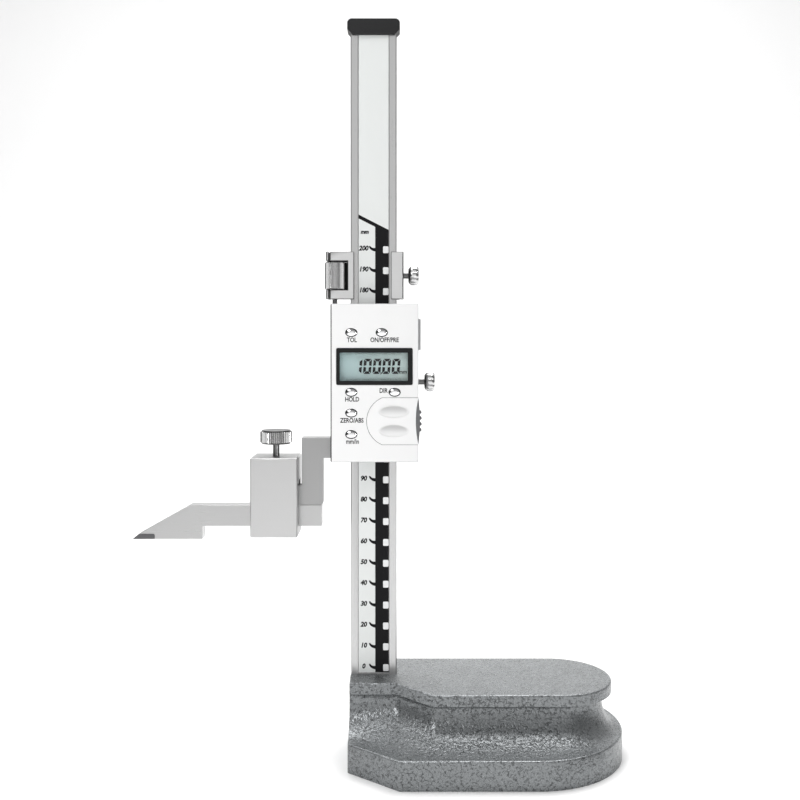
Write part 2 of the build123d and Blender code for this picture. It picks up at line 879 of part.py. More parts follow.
def make_clamp_box():
    half = clamp_depth / 2
    box = block(
        (clamp_left, clamp_right),
        (jaw_middle - half, jaw_middle + half),
        (clamp_bottom, clamp_top),
    )
    box = chamfer(box.edges(), clamp_edge)
    box -= block(
        (clamp_left - cut_past, clamp_right + cut_past),
        (frame_front - running_gap, slot_back + running_gap),
        (scriber_bar_bottom - running_gap, clamp_cavity_top),
    )
    hole = clamp_stud_diameter / 2 + running_gap
    return box - rod_along_z(
        hole, clamp_middle, jaw_middle, (clamp_cavity_top - cut_past, clamp_top + cut_past)
    )


def make_clamp_screw():
    knob_bottom = clamp_top + clamp_stud_exposed
    bury = clamp_knob_height * knob_bore
    stud = rod_along_z(
        clamp_stud_diameter / 2,
        clamp_middle,
        jaw_middle,
        (arm_top + running_gap, knob_bottom + bury),
    )
    disc = knurled_disc(
        clamp_knob_diameter,
        clamp_knob_height,
        clamp_knob_teeth,
        clamp_knob_tooth,
        clamp_knob_edge,
    )
    disc -= rod_along_z(clamp_stud_diameter / 2 + seat_gap / 2, 0, 0, (-cut_past, bury))
    return Pos(clamp_middle, jaw_middle, knob_bottom) * disc, stud


# ---------------------------------------------------------------- fine adjustment


def make_carriage():
    body = block(
        (carriage_outer_left, carriage_outer_right),
        (carriage_front, carriage_back),
        (carriage_bottom, carriage_top),
    )
    body = chamfer(body.edges().filter_by(Axis.Z), carriage_edge)
    over = (carriage_bottom - cut_past, carriage_top + cut_past)
    body -= block((slot_left, slot_right), (slot_front, slot_back), over)
    body -= block(
        (beam_left + carriage_lip_left, beam_right - carriage_lip_right),
        (carriage_front - cut_past, slot_front + cut_past),
        over,
    )
    body -= block(
        (carriage_outer_left - cut_past, window_right),
        (carriage_front - cut_past, carriage_back + cut_past),
        (window_bottom, window_top),
    )
    body -= rod_along_z(rod_diameter / 2 + running_gap, rod_x, beam_middle, over)
    slit_x = rod_x - ear_slit_from_rod
    body -= block(
        (slit_x - ear_slit / 2, slit_x + ear_slit / 2),
        (carriage_front - cut_past, beam_middle),
        over,
    )
    stud_hole = lock_stud_diameter / 2 + running_gap
    return body - rod_along_x(
        stud_hole,
        (slot_right - cut_past, carriage_outer_right + cut_past),
        beam_middle,
        carriage_bottom + carriage_lock_height,
    )


def make_fine_nut():
    height = nut_window_height - 2 * nut_end_gap
    nut = knurled_disc(nut_diameter, height, nut_teeth, nut_tooth, nut_edge)
    nut -= rod_along_z(rod_diameter / 2 + running_gap, 0, 0, (-cut_past, height + cut_past))
    return Pos(rod_x, beam_middle, window_bottom + nut_end_gap) * nut


def make_rod():
    return rod_along_z(
        rod_diameter / 2,
        rod_x,
        beam_middle,
        (frame_top - rod_in_frame, carriage_top - rod_end_gap),
    )


# ---------------------------------------------------------------- head electronics


def button_sketch(grow):
    return Ellipse(button_width / 2 + grow, button_height / 2 + grow)


def button_at(name):
    dx, dz = button_places[name]
    return Pos(housing_left + dx, head_bottom + dz)


def cover_sketch(grow):
    """The battery cover's outline in front view: straight edges and a bulging left end."""
    low = cover_z[0] - grow
    high = cover_z[1] + grow
    left = cover_round_end - grow
    edges = [
        Line((housing_right, low), (cover_shoulder, low)),
        ThreePointArc((cover_shoulder, low), (left, cover_middle), (cover_shoulder, high)),
        Line((cover_shoulder, high), (housing_right, high)),
        Line((housing_right, high), (housing_right, low)),
    ]
    return make_face(Wire(edges))


def cover_end_sketch():
    """The cover's end wall in front view: flat inside, and bulging for the thumb."""
    low, high = cover_z
    inner = housing_right - housing_wall
    bulge = (housing_right + cover_end_bulge, cover_middle)
    edges = [
        Line((inner, high), (inner, low)),
        Line((inner, low), (housing_right, low)),
        ThreePointArc((housing_right, low), bulge, (housing_right, high)),
        Line((housing_right, high), (inner, high)),
    ]
    return make_face(Wire(edges))


def make_housing():
    shell = block(
        (housing_left, housing_right), (housing_front, frame_front), (head_bottom, head_top)
    )
    shell = fillet(shell.edges().filter_by(Axis.Y), housing_corner)
    shell = fillet(shell.faces().sort_by(Axis.Y)[0].edges(), housing_edge)
    wall = housing_wall
    inside = (
        (housing_left + wall, housing_right - wall),
        (housing_inside, frame_front + cut_past),
        (head_bottom + wall, head_top - wall),
    )
    shell -= block(*inside)
    for px, pz in housing_screw_places():
        boss = rod_along_y(
            housing_boss_diameter / 2, px, (housing_inside, frame_front), pz
        )
        bore = housing_screw_diameter / 2 + seat_gap
        boss -= rod_along_y(
            bore, px, (frame_front - housing_screw_bite - housing_screw_spare, frame_front + cut_past), pz
        )
        shell += boss
    through = (housing_front - cut_past, housing_inside + cut_touch)
    opening = Pos(sum(bezel_x) / 2, sum(bezel_z) / 2) * RectangleRounded(
        bezel_width + 2 * seat_gap, bezel_height + 2 * seat_gap, view_corner * 2
    )
    shell -= front_prism(opening, through)
    for name in button_places:
        shell -= front_prism(button_at(name) * button_sketch(button_gap), through)
    # The battery cover's opening, in the front wall and round the right side, with
    # side slots for its tongues.
    shell -= front_prism(cover_sketch(cover_gap), through)
    shell -= block(
        (housing_right - wall - cut_touch, housing_right + cut_past),
        (housing_front - cut_past, cover_back + cover_gap),
        (cover_z[0] - cover_gap, cover_z[1] + cover_gap),
    )
    reach = cover_tongue + 2 * cover_gap
    shell -= block(
        (housing_right - wall - cut_touch, housing_right + cut_past),
        (housing_inside, housing_inside + cover_tongue_thickness + 2 * cover_gap),
        (cover_z[0] - reach, cover_z[1] + reach),
    )
    return shell - block((housing_right - wall - cut_past, housing_right + cut_past), port_y, port_z)


def make_bezel():
    middle = Pos(sum(bezel_x) / 2, sum(bezel_z) / 2)
    frame = front_prism(
        middle * RectangleRounded(bezel_width, bezel_height, view_corner * 2),
        (housing_front - bezel_proud, bezel_back),
    )
    flange = bezel_flange * 2
    frame += front_prism(
        middle * Rectangle(bezel_width + flange, bezel_height + flange),
        (housing_inside, bezel_back),
    )
    view = Pos(sum(view_x) / 2, sum(view_z) / 2)
    view_size = (view_x[1] - view_x[0], view_z[1] - view_z[0])
    frame -= front_prism(
        view * RectangleRounded(*view_size, view_corner),
        (housing_front - bezel_proud - cut_past, bezel_back + cut_past),
    )
    ledge = 2 * window_ledge
    frame -= front_prism(
        view * Rectangle(view_size[0] + ledge, view_size[1] + ledge),
        (bezel_back - window_thickness, bezel_back + cut_past),
    )
    return frame


def make_window():
    grow = window_ledge - seat_gap
    return block(
        (view_x[0] - grow, view_x[1] + grow),
        (bezel_back - window_thickness, window_back),
        (view_z[0] - grow, view_z[1] + grow),
    )


def lcd_range(values):
    return (values[0] - lcd_margin, values[1] + lcd_margin)


def make_lcd():
    return block(lcd_range(view_x), (window_back, lcd_back), lcd_range(view_z))


def make_zebra_strips():
    low, high = lcd_range(view_z)
    middle = sum(view_x) / 2
    x = (middle - zebra_length / 2, middle + zebra_length / 2)
    y = (lcd_back, board_front)
    return [block(x, y, (low, low + zebra_width)), block(x, y, (high - zebra_width, high))]


def make_board():
    return block(
        (board_left, board_right), (board_front, frame_front), (board_bottom, board_top)
    )


def make_sensor():
    half = sensor_window_width / 2 - seat_gap
    tall = sensor_window_height / 2 - seat_gap
    scale_front = beam_front + scale_groove_depth - scale_thickness
    return block(
        (-half, half),
        (frame_front, scale_front - sensor_gap),
        (head_middle - tall, head_middle + tall),
    )


def make_switches():
    switches = []
    for name, (dx, dz) in button_places.items():
        px = housing_left + dx
        pz = head_bottom + dz
        half = switch_size / 2
        body = block(
            (px - half, px + half),
            (board_front - switch_height, board_front),
            (pz - half, pz + half),
        )
        body += rod_along_y(
            switch_size * switch_plunger_size, px, (switch_front, board_front - switch_height), pz
        )
        switches.append(body)
    return switches


def make_button(name):
    inner = switch_front - button_clear
    stem = front_prism(
        button_at(name) * button_sketch(0), (housing_front - button_proud, inner)
    )
    rim = stem.faces().sort_by(Axis.Y)[0].edges()
    stem = fillet(rim, button_proud * button_round)
    flange = front_prism(
        button_at(name) * button_sketch(button_flange),
        (housing_inside + seat_gap, housing_inside + seat_gap + button_flange_thickness),
    )
    return stem + flange


def make_battery_cover():
    inner = housing_inside + seat_gap + cover_tongue_thickness
    plate = front_prism(cover_sketch(0), (housing_front, housing_inside))
    # Tongues under the housing's front wall, at the two straight edges.
    low, high = cover_z
    for near, far in ((low, low - cover_tongue), (high, high + cover_tongue)):
        inward = near - cover_tongue_root if far > near else near + cover_tongue_root
        z = (min(inward, near), max(inward, near))
        plate += block(tongue_x, (housing_inside, inner), z)
        z = (min(inward, far), max(inward, far))
        plate += block(tongue_x, (housing_inside + seat_gap, inner), z)
    # End wall in the housing's right side, with ribs for the thumb.
    plate += front_prism(cover_end_sketch(), (housing_front, cover_back))
    rib_y = (housing_front + cover_rib_inset, cover_back - cover_rib_inset)
    for index in range(cover_ribs):
        offset = (index - (cover_ribs - 1) / 2) * cover_rib_pitch
        sagitta = cover_end_bulge * (1 - (2 * offset / cover_height) ** 2)
        plate += rod_along_y(
            cover_rib_radius, housing_right + sagitta, rib_y, cover_middle + offset
        )
    # Two finger dents: shallow slices of long ellipsoids.
    for side in (-1, 1):
        dent_x = cover_round_end + dent_from_round_end
        dent_z = cover_middle + side * dent_spacing / 2
        dent = scale(Sphere(1), by=(dent_length / 2, dent_depth, dent_height / 2))
        plate -= Pos(dent_x, housing_front, dent_z) * dent
    return plate


def make_cell():
    return rod_along_y(cell_diameter / 2, cell_x, (cell_front, cell_back), cover_middle)


def make_cell_tray():
    inner = cell_diameter / 2 + seat_gap
    floor_front = cell_back + contact_thickness
    tray = rod_along_y(
        inner + tray_wall, cell_x, (cell_back - tray_depth, board_front), cover_middle
    )
    tray -= rod_along_y(
        inner, cell_x, (cell_back - tray_depth - cut_past, floor_front), cover_middle
    )
    hollow = (floor_front + tray_floor, board_front + cut_past)
    return tray - rod_along_y(inner, cell_x, hollow, cover_middle)


def make_cell_contact():
    """A sprung strip under the cell, with a tab on each side of its disc."""
    y = (cell_back, cell_back + contact_thickness)
    disc = rod_along_y(cell_diameter / 4, cell_x, y, cover_middle)
    reach = cell_diameter / 2 - contact_end_gap
    half = contact_tab_width / 2
    tab_z = (cover_middle - half, cover_middle + half)
    tab = block((cell_x - reach, cell_x + reach), y, tab_z)
    return disc + tab


def make_port_cover():
    long = port_cover_margin_long
    wide = port_cover_margin_wide
    plate = block(
        (housing_right, housing_right + port_cover_thickness),
        (port_y[0] - wide, port_y[1] + wide),
        (port_z[0] - long, port_z[1] + long),
    )
    outer = plate.faces().sort_by(Axis.X)[-1].edges()
    plate = fillet(outer, port_cover_edge)
    gap = seat_gap
    plug = block(
        (housing_right - housing_wall, housing_right),
        (port_y[0] + gap, port_y[1] - gap),
        (port_z[0] + gap, port_z[1] - gap),
    )
    return plate + plug


# ---------------------------------------------------------------- all sub-parts


def make_all():
    head_lock = make_lock_screw(
        frame_right, head_lock_exposed, head_bottom + head_lock_height
    )
    carriage_lock = make_lock_screw(
        carriage_outer_right, carriage_lock_exposed, carriage_bottom + carriage_lock_height
    )
    clamp_knob, clamp_stud = make_clamp_screw()
    parts = {
        "base_casting": make_base(),
        "beam": make_beam(),
        "scale_strip": make_scale(),
        "beam_cap": make_cap(),
        "beam_bolts": make_beam_bolts(),
        "carriage": make_carriage(),
        "carriage_gib": make_gib(
            carriage_bottom + carriage_gib_inset, carriage_top - carriage_gib_inset
        ),
        "carriage_lock_knob": carriage_lock[0],
        "carriage_lock_stud": carriage_lock[1],
        "fine_adjust_nut": make_fine_nut(),
        "fine_adjust_rod": make_rod(),
        "slider_frame": make_slider_frame(),
        "slider_gib": make_gib(head_bottom + gib_end_inset, head_top - gib_end_inset),
        "gib_screws": make_gib_screws(),
        "keeper_plate": make_keeper(),
        "keeper_screws": make_keeper_screws(),
        "head_lock_knob": head_lock[0],
        "head_lock_stud": head_lock[1],
        "head_housing": make_housing(),
        "housing_screws": make_housing_screws(),
        "display_bezel": make_bezel(),
        "display_window": make_window(),
        "lcd_panel": make_lcd(),
        "zebra_strips": make_zebra_strips(),
        "circuit_board": make_board(),
        "position_sensor": make_sensor(),
        "tact_switches": make_switches(),
        "battery_cover": make_battery_cover(),
        "button_cell": make_cell(),
        "cell_tray": make_cell_tray(),
        "cell_contact": make_cell_contact(),
        "port_cover": make_port_cover(),
        "clamp_box": make_clamp_box(),
        "clamp_knob": clamp_knob,
        "clamp_stud": clamp_stud,
        "scriber_bar": make_scriber(),
        "carbide_tip": make_carbide_tip(),
    }
    for name in button_places:
        parts["button_" + name] = make_button(name)
    return parts


os.makedirs("parts", exist_ok=True)
for node, solid in make_all().items():
    shape = Compound(children=solid) if isinstance(solid, list) else solid
    export_step(shape, f"parts/{node}.step")
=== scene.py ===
# %% [markdown]
# # A digital height gauge, dressed for a portrait
#
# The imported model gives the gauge's solids, grouped in bodies that slide and turn. This
# notebook keeps every size and place of that frame, and gives each piece the finish and
# the fine shapes that the real one has: hammered enamel on the cast base, ground and
# chromed steel, a printed scale, a liquid crystal display, keys and knurled screws.
#
# It is a lesson. Each step says what the piece is, how it could be made in Blender, and
# why this way was chosen.

import json
from math import atan, cos, pi, radians, sin

import bmesh
import bpy
from mathutils import Matrix, Vector

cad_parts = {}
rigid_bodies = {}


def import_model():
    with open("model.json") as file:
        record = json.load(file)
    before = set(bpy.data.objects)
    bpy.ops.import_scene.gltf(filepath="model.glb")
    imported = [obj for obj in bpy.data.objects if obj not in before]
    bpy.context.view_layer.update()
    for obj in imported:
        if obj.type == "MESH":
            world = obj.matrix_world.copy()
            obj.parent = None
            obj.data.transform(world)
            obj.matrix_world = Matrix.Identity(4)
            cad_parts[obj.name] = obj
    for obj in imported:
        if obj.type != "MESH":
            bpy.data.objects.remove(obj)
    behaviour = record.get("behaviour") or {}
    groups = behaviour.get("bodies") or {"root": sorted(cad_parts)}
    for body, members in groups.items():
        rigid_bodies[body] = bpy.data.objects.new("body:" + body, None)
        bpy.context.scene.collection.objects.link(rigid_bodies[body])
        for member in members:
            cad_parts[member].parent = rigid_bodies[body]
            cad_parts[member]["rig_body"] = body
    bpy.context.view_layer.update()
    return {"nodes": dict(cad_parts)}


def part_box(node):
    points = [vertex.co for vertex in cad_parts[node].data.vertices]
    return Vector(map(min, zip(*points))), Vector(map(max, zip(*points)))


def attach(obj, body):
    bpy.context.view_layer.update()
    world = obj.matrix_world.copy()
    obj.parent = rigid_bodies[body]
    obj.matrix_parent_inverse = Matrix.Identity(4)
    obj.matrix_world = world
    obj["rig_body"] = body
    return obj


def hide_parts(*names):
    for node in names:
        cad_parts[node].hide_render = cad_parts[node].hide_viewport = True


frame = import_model()
nodes = frame["nodes"]
scene = bpy.context.scene

# %% [markdown]
# ## Units and helpers
#
# Blender works in metres, and a gauge is drawn in millimetres, so `MM` turns one into the
# other. A node's box gives the places of everything that sits on it.

# %% Sizes and places
MM = 0.001
BODY_OF = {name: piece["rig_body"] for name, piece in nodes.items()}


def span(node):
    """The node's lowest and highest corner."""
    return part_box(node)


def middle(node):
    low, high = span(node)
    return (low + high) / 2


def link(piece):
    scene.collection.objects.link(piece)
    return piece


def piece_from(bm, name):
    """A linked object made from a bmesh."""
    mesh = bpy.data.meshes.new(name)
    bm.to_mesh(mesh)
    bm.free()
    return link(bpy.data.objects.new(name, mesh))


housing_low, housing_high = span("head_housing")
print("housing from", housing_low / MM, "to", housing_high / MM, "mm")

# %% [markdown]
# ## Shader maths as Python
#
# A material is a graph of nodes. Wiring it by hand hides the formula, so this class wraps
# one socket: `a * 2 + b` adds the Math nodes that work it out.


# %% A wrapped socket
class Value:
    """A socket of a material's node tree that can be used in Python sums."""

    def __init__(self, tree, socket):
        self.tree = tree
        self.socket = socket

    def _math(self, operation, *values):
        node = self.tree.nodes.new("ShaderNodeMath")
        node.operation = operation
        for slot, value in zip(node.inputs, values):
            if isinstance(value, Value):
                self.tree.links.new(value.socket, slot)
            else:
                slot.default_value = value
        return Value(self.tree, node.outputs[0])

    def __add__(self, other):
        return self._math("ADD", self, other)

    __radd__ = __add__

    def __sub__(self, other):
        return self._math("SUBTRACT", self, other)

    def __rsub__(self, other):
        return self._math("SUBTRACT", other, self)

    def __mul__(self, other):
        return self._math("MULTIPLY", self, other)

    __rmul__ = __mul__

    def __truediv__(self, other):
        return self._math("DIVIDE", self, other)

    def smooth(self, start, end):
        """0 below start, 1 above end, and a smooth step between them."""
        node = self.tree.nodes.new("ShaderNodeMapRange")
        node.interpolation_type = "SMOOTHSTEP"
        self.tree.links.new(self.socket, node.inputs["Value"])
        node.inputs["From Min"].default_value = start
        node.inputs["From Max"].default_value = end
        return Value(self.tree, node.outputs["Result"])


print("sums on sockets: +, -, *, / and smooth")

# %% [markdown]
# ## A material and its nodes
#
# Every finish here is one Principled BSDF. It could be built node by node each time, but
# then the wiring is longer than the recipe. `Shader` makes the material, `Shader.node`
# adds any node from its type, its settings and its sockets, and a few short methods hold
# what nearly every finish needs: a place, some noise, a blend of two colours and a bump.


# %% A material builder
class Shader:
    """A new material with one Principled BSDF, and short ways to add to its tree."""

    def __init__(self, name, colour, roughness, metallic=0.0, **sockets):
        self.material = bpy.data.materials.new(name)
        self.material.use_nodes = True
        self.tree = self.material.node_tree
        self.surface = self.tree.nodes["Principled BSDF"]
        self.put("Base Color", colour)
        self.put("Roughness", roughness)
        self.put("Metallic", metallic)
        for socket, value in sockets.items():
            self.put(socket.replace("_", " "), value)

    def fill(self, target, value):
        """Links a wrapped socket to the target, or sets it to a number or a colour."""
        if isinstance(value, Value):
            self.tree.links.new(value.socket, target)
        elif target.type == "RGBA":
            target.default_value = (*value, 1.0)
        else:
            target.default_value = value

    def put(self, socket, value):
        """Feeds one of the surface's sockets."""
        self.fill(self.surface.inputs[socket], value)

    def node(self, kind, settings=None, output=0, **sockets):
        """A node of that type. Its settings are set first, then its sockets.

        A socket goes by its name, with _ for a space, or by its number, as in i1.
        """
        node = self.tree.nodes.new("ShaderNode" + kind)
        for name, value in (settings or {}).items():
            setattr(node, name, value)
        for name, value in sockets.items():
            numbered = name[0] == "i" and name[1:].isdigit()
            self.fill(node.inputs[int(name[1:]) if numbered else name.replace("_", " ")], value)
        return Value(self.tree, node.outputs[output])

    def place(self, scale=(1.0, 1.0, 1.0)):
        """Object coordinates, stretched by a Mapping node."""
        coordinates = self.node("TexCoord", output="Object")
        return self.node("Mapping", Vector=coordinates, Scale=scale)

    def noise(self, where, scale, detail=3.0, roughness=0.5, output="Fac"):
        return self.node(
            "TexNoise",
            output=output,
            Vector=where,
            Scale=scale,
            Detail=detail,
            Roughness=roughness,
        )

    def blend(self, mask, low, high):
        """The colour low where mask is 0 and high where it is 1."""
        return self.node("Mix", {"data_type": "RGBA"}, output=2, i0=mask, i6=low, i7=high)

    def bump(self, height, strength, distance):
        """Feeds the height, in units of distance, to the surface's normal."""
        normal = self.node("Bump", Height=height, Strength=strength, Distance=distance)
        self.put("Normal", normal)


def plain(name, colour, roughness, metallic=0.0, **sockets):
    """A finish that is the same all over."""
    return Shader(name, colour, roughness, metallic, **sockets).material


FINISH = {}
print("shader helpers ready")

# %% [markdown]
# ## Hammered enamel
#
# The cast base wears grey hammered paint. As it dries it draws together in glossy cells
# the size of a pinhead, with thin broken seams sunk between them. A painted image would
# show the cells, but it blurs close up and needs an unwrapped mesh. Here the cells are a
# Voronoi pattern whose edges give the seams: a coarse noise bends them, a second one
# breaks them up, and the same masks drive colour and bump, so that both always agree.
#
# This pattern reads Object coordinates, as all the finishes do. They are metres here,
# because every piece sits at the origin, so a scale of 640 gives cells of about 1.6 mm.

# %% The base's paint
def hammered_enamel():
    """Grey hammered paint: glossy cells the size of a pinhead between thin sunk seams."""
    paint = Shader("hammered_enamel", (0.2, 0.205, 0.205), 0.34, 0.5, Specular_IOR_Level=0.8)
    place = paint.place()
    drift = paint.noise(place, 420.0, output="Color")
    drift_reach = (0.003,) * 3
    warped = paint.node(
        "VectorMath", {"operation": "MULTIPLY_ADD"}, i0=drift, i1=drift_reach, i2=place
    )
    edge = paint.node(
        "TexVoronoi",
        {"feature": "DISTANCE_TO_EDGE"},
        output="Distance",
        Vector=warped,
        Scale=640.0,
    )
    cloud = paint.noise(place, 90.0)
    broken = paint.noise(place, 700.0).smooth(0.44, 0.6)
    seam = (1.0 - edge.smooth(0.03, 0.15)) * broken
    grain = paint.noise(place, 1900.0)
    cell = paint.blend(
        grain * 0.5 + cloud * 0.5, (0.165, 0.173, 0.178), (0.25, 0.263, 0.27)
    )
    paint.put("Base Color", paint.blend(seam * 0.9, cell, (0.045, 0.048, 0.05)))
    paint.put("Roughness", 0.2 + 0.16 * grain)
    hammer = paint.noise(place, 620.0, 2.0)
    paint.bump(edge.smooth(0.0, 0.35) * 0.25 - seam * 0.35 + hammer * 0.7, 0.6, 0.0003)
    return paint.material


FINISH["enamel"] = hammered_enamel()
print("enamel nodes:", len(FINISH["enamel"].node_tree.nodes))

# %% [markdown]
# ## Steel, from ground to chromed
#
# The beam, frame, clamp and scriber are ground steel, some of it satin chromed. Grinding
# leaves fine parallel lines, so a noise is stretched a hundredfold along the stroke and
# shifts tone, roughness and height a little. The renderer's own anisotropy would smear a
# highlight in the same way, but the export can't bake it. Turned pieces are too small for
# lines to show, and only their polish is a little uneven. The scriber's tip is sintered
# carbide, which is darker and grainy.


# %% Metal finishes
def brushed_steel(name, colour, roughness, along, depth=0.12):
    """Steel with fine lines along one axis: noise stretched hard along it."""
    steel = Shader(name, colour, roughness, 1.0)
    scale = tuple(25.0 if axis == along else 2600.0 for axis in "XYZ")
    lines = steel.noise(steel.place(scale), 1.0, 4.0, 0.6)
    cloud = steel.noise(steel.place(), 55.0)
    dark = tuple(channel * 0.95 for channel in colour)
    light = tuple(channel * 1.05 for channel in colour)
    steel.put("Base Color", steel.blend(lines * 0.6 + cloud * 0.4, dark, light))
    steel.put("Roughness", (lines - 0.5) * 0.16 + (cloud - 0.5) * 0.1 + roughness)
    steel.bump(lines, depth, 0.00004)
    return steel.material


def turned_steel(name, colour, roughness):
    """Plain turned or drawn metal with a barely uneven polish."""
    steel = Shader(name, colour, roughness, 1.0)
    cloud = steel.noise(steel.place(), 420.0)
    steel.put("Roughness", (cloud - 0.5) * 0.14 + roughness)
    return steel.material


def carbide_metal():
    """Sintered carbide: dark, finely grained and ground flat."""
    grain = Shader("carbide", (0.11, 0.11, 0.115), 0.38, 0.9)
    speckle = grain.noise(grain.place(), 9000.0, 2.0)
    grain.put("Base Color", grain.blend(speckle, (0.07, 0.07, 0.074), (0.17, 0.17, 0.175)))
    grain.bump(speckle, 0.2, 0.00003)
    return grain.material


FINISH |= {
    "beam": brushed_steel("beam_steel", (0.5, 0.5, 0.5), 0.3, "Z"),
    # The carriage is the clamp's satin chrome made brighter, as painted light where it mirrors
    # less of the room.
    "carriage": brushed_steel("carriage_chrome_painted_light", (0.62, 0.62, 0.62), 0.33, "X"),
    # Frame steel, also painted as shade on the tops and right ends of carriage and clamp.
    "frame": brushed_steel("frame_steel_and_top_shade", (0.34, 0.34, 0.34), 0.36, "Z"),
    "satin": brushed_steel("satin_chrome", (0.5, 0.5, 0.5), 0.33, "X"),
    "ground": brushed_steel("ground_steel", (0.44, 0.44, 0.44), 0.3, "X", 0.16),
    "carbide": carbide_metal(),
    "chrome": turned_steel("knob_chrome", (0.58, 0.58, 0.58), 0.22),
    # Dark steel as painted shade: on the carriage's broken edges, in the knurls' grooves and on
    # the lock knobs' collars.
    "painted_shade": turned_steel("painted_shade_steel", (0.09, 0.09, 0.09), 0.35),
    "nut": turned_steel("nut_steel", (0.7, 0.7, 0.7), 0.22),
    "screw": turned_steel("screw_steel", (0.2, 0.2, 0.2), 0.32),
    "cell": turned_steel("cell_steel", (0.6, 0.6, 0.6), 0.25),
    "key": plain("key_silver", (0.8, 0.8, 0.81), 0.14, 1.0),
    "brass": plain("contact_brass", (0.6, 0.45, 0.2), 0.3, 1.0),
    "bronze": plain("gib_bronze", (0.45, 0.28, 0.14), 0.4, 1.0),
}
print("finishes so far:", len(FINISH))

# %% [markdown]
# ## Plastics and ink
#
# The head's covers are moulded plastic with a fine even grain. The battery cover has two
# thumb dents, whose upper halves turn away from the light. A soft box of light this wide
# hides so shallow a hollow, so painted shade darkens the cover's colour a little in each
# dent: an ellipse, as a sum of squares, times a ramp up its height.

# %% Plastic finishes
DENT_LENGTH = 14.2 * MM
DENT_HEIGHT = 5.8 * MM
DENT_SPACING = 8.9 * MM
DENT_FROM_END = 12.6 * MM


def fine_plastic(name, colour, roughness, grain=0.12, **sockets):
    """Moulded plastic with a fine even grain."""
    plastic = Shader(name, colour, roughness, 0.0, **sockets)
    speckle = plastic.noise(plastic.place(), 5200.0)
    plastic.put("Roughness", (speckle - 0.5) * 0.12 + roughness)
    plastic.bump(speckle, grain, 0.00003)
    return plastic.material


def plastic_with_painted_dent_shade():
    """The battery cover's plastic, with painted shade in the upper half of its two dents."""
    white = (0.86, 0.86, 0.86)
    plastic = Shader("cover_painted_dent_shade", white, 0.42)
    place = plastic.place()
    x = plastic.node("SeparateXYZ", Vector=place, output="X")
    z = plastic.node("SeparateXYZ", Vector=place, output="Z")
    cover_end = span("battery_cover")[0].x
    across = (x - (cover_end + DENT_FROM_END)) / (DENT_LENGTH / 2)
    shade = 0.0
    for side in (-1, 1):
        level = middle("battery_cover").z + side * DENT_SPACING / 2
        up = (z - level) / (DENT_HEIGHT / 2)
        inside = 1.0 - (across * across + up * up).smooth(0.6, 1.05)
        shade = inside * up.smooth(-0.7, 0.6) + shade
    # Painted shade: the upper half of each dent turns grey.
    plastic.put("Base Color", plastic.blend(shade, white, (0.5, 0.5, 0.5)))
    return plastic.material


FINISH |= {
    "black": fine_plastic("black_plastic", (0.012, 0.012, 0.013), 0.5, Specular_IOR_Level=0.3),
    "silver": fine_plastic("cover_silver", (0.85, 0.85, 0.85), 0.42, 0.04),
    "cover": plastic_with_painted_dent_shade(),
    # Grey of the housing's rim: painted shade and reflection.
    "rim_shade": fine_plastic("rim_shade_grey", (0.4, 0.4, 0.41), 0.45, 0.05),
    # The grip's dark grey is painted shade of the bulge.
    "grip": fine_plastic("grip_shade_grey", (0.12, 0.12, 0.125), 0.45, 0.1),
    "port": fine_plastic("port_grey", (0.42, 0.42, 0.43), 0.5, 0.05),
    # Black of the display's bezel, and painted shadow: the housing's left line, the nut's window
    # and the gap round each key.
    "bezel": plain("bezel_black", (0.006, 0.007, 0.007), 0.35, Specular_IOR_Level=0.2),
    "ink": plain("printed_ink", (0.006, 0.006, 0.007), 0.6, Specular_IOR_Level=0.15),
    "white_ink": plain("white_ink", (0.82, 0.83, 0.83), 0.45),
    "scale": plain("scale_ground", (0.76, 0.78, 0.77), 0.4),
    # Painted shade: the grey along the lower edge of the battery cover's joint.
    "label": plain("groove_shade_grey", (0.07, 0.07, 0.075), 0.5),
    "rubber": plain("zebra_rubber", (0.1, 0.1, 0.1), 0.7),
}
print("finishes so far:", len(FINISH))

# %% [markdown]
# ## Window, display and circuit board
#
# The window is clear acrylic. Real refraction would cost many bounces and the export
# keeps only an alpha, so it is nearly transparent and keeps a soft reflection. The liquid
# crystal panel's ground is a grey green that pales to the right. The circuit board shows
# only with its cover off: green solder mask, with bricks of a wide pattern for tracks.


# %% Electronics
def display_glass():
    """The reflective grey-green of a liquid crystal panel, a little paler to the right."""
    panel = Shader("lcd_ground", (0.46, 0.57, 0.56), 0.4)
    low, high = span("lcd_panel")
    x = panel.node("SeparateXYZ", Vector=panel.place(), output="X")
    across = (x - low.x) / (high.x - low.x)
    panel.put("Base Color", panel.blend(across, (0.5, 0.67, 0.68), (0.62, 0.74, 0.72)))
    return panel.material


def circuit_board():
    """Green solder mask with faint straight tracks."""
    mask_green = (0.02, 0.12, 0.06)
    board = Shader("board_green", mask_green, 0.4)
    tracks = board.node("TexBrick", Vector=board.place(), Scale=260.0, output="Fac")
    board.put("Base Color", board.blend(tracks, mask_green, (0.04, 0.2, 0.1)))
    return board.material


FINISH |= {
    "window": plain("clear_window", (0.95, 0.97, 0.97), 0.06, Alpha=0.02, IOR=1.49),
    "lcd": display_glass(),
    "board": circuit_board(),
}
print("finishes:", len(FINISH))

# %% [markdown]
# ## Dressing a machined piece
#
# The frame's meshes are right in size, but every edge is razor sharp, and a sharp edge
# never catches the light. Real ground steel has edges broken by a fraction of a
# millimetre. So each machined piece is copied, its flat faces are merged, a Bevel
# modifier breaks the sharp edges, and curved faces are shaded smooth. The bevel could be
# done in the shader, but then the outline of the piece would stay sharp.

# %% Copy, bevel and smooth a node
MERGE_WITHIN = 0.002 * MM
FLAT_WITHIN = radians(0.5)
BREAK_FROM = radians(40)


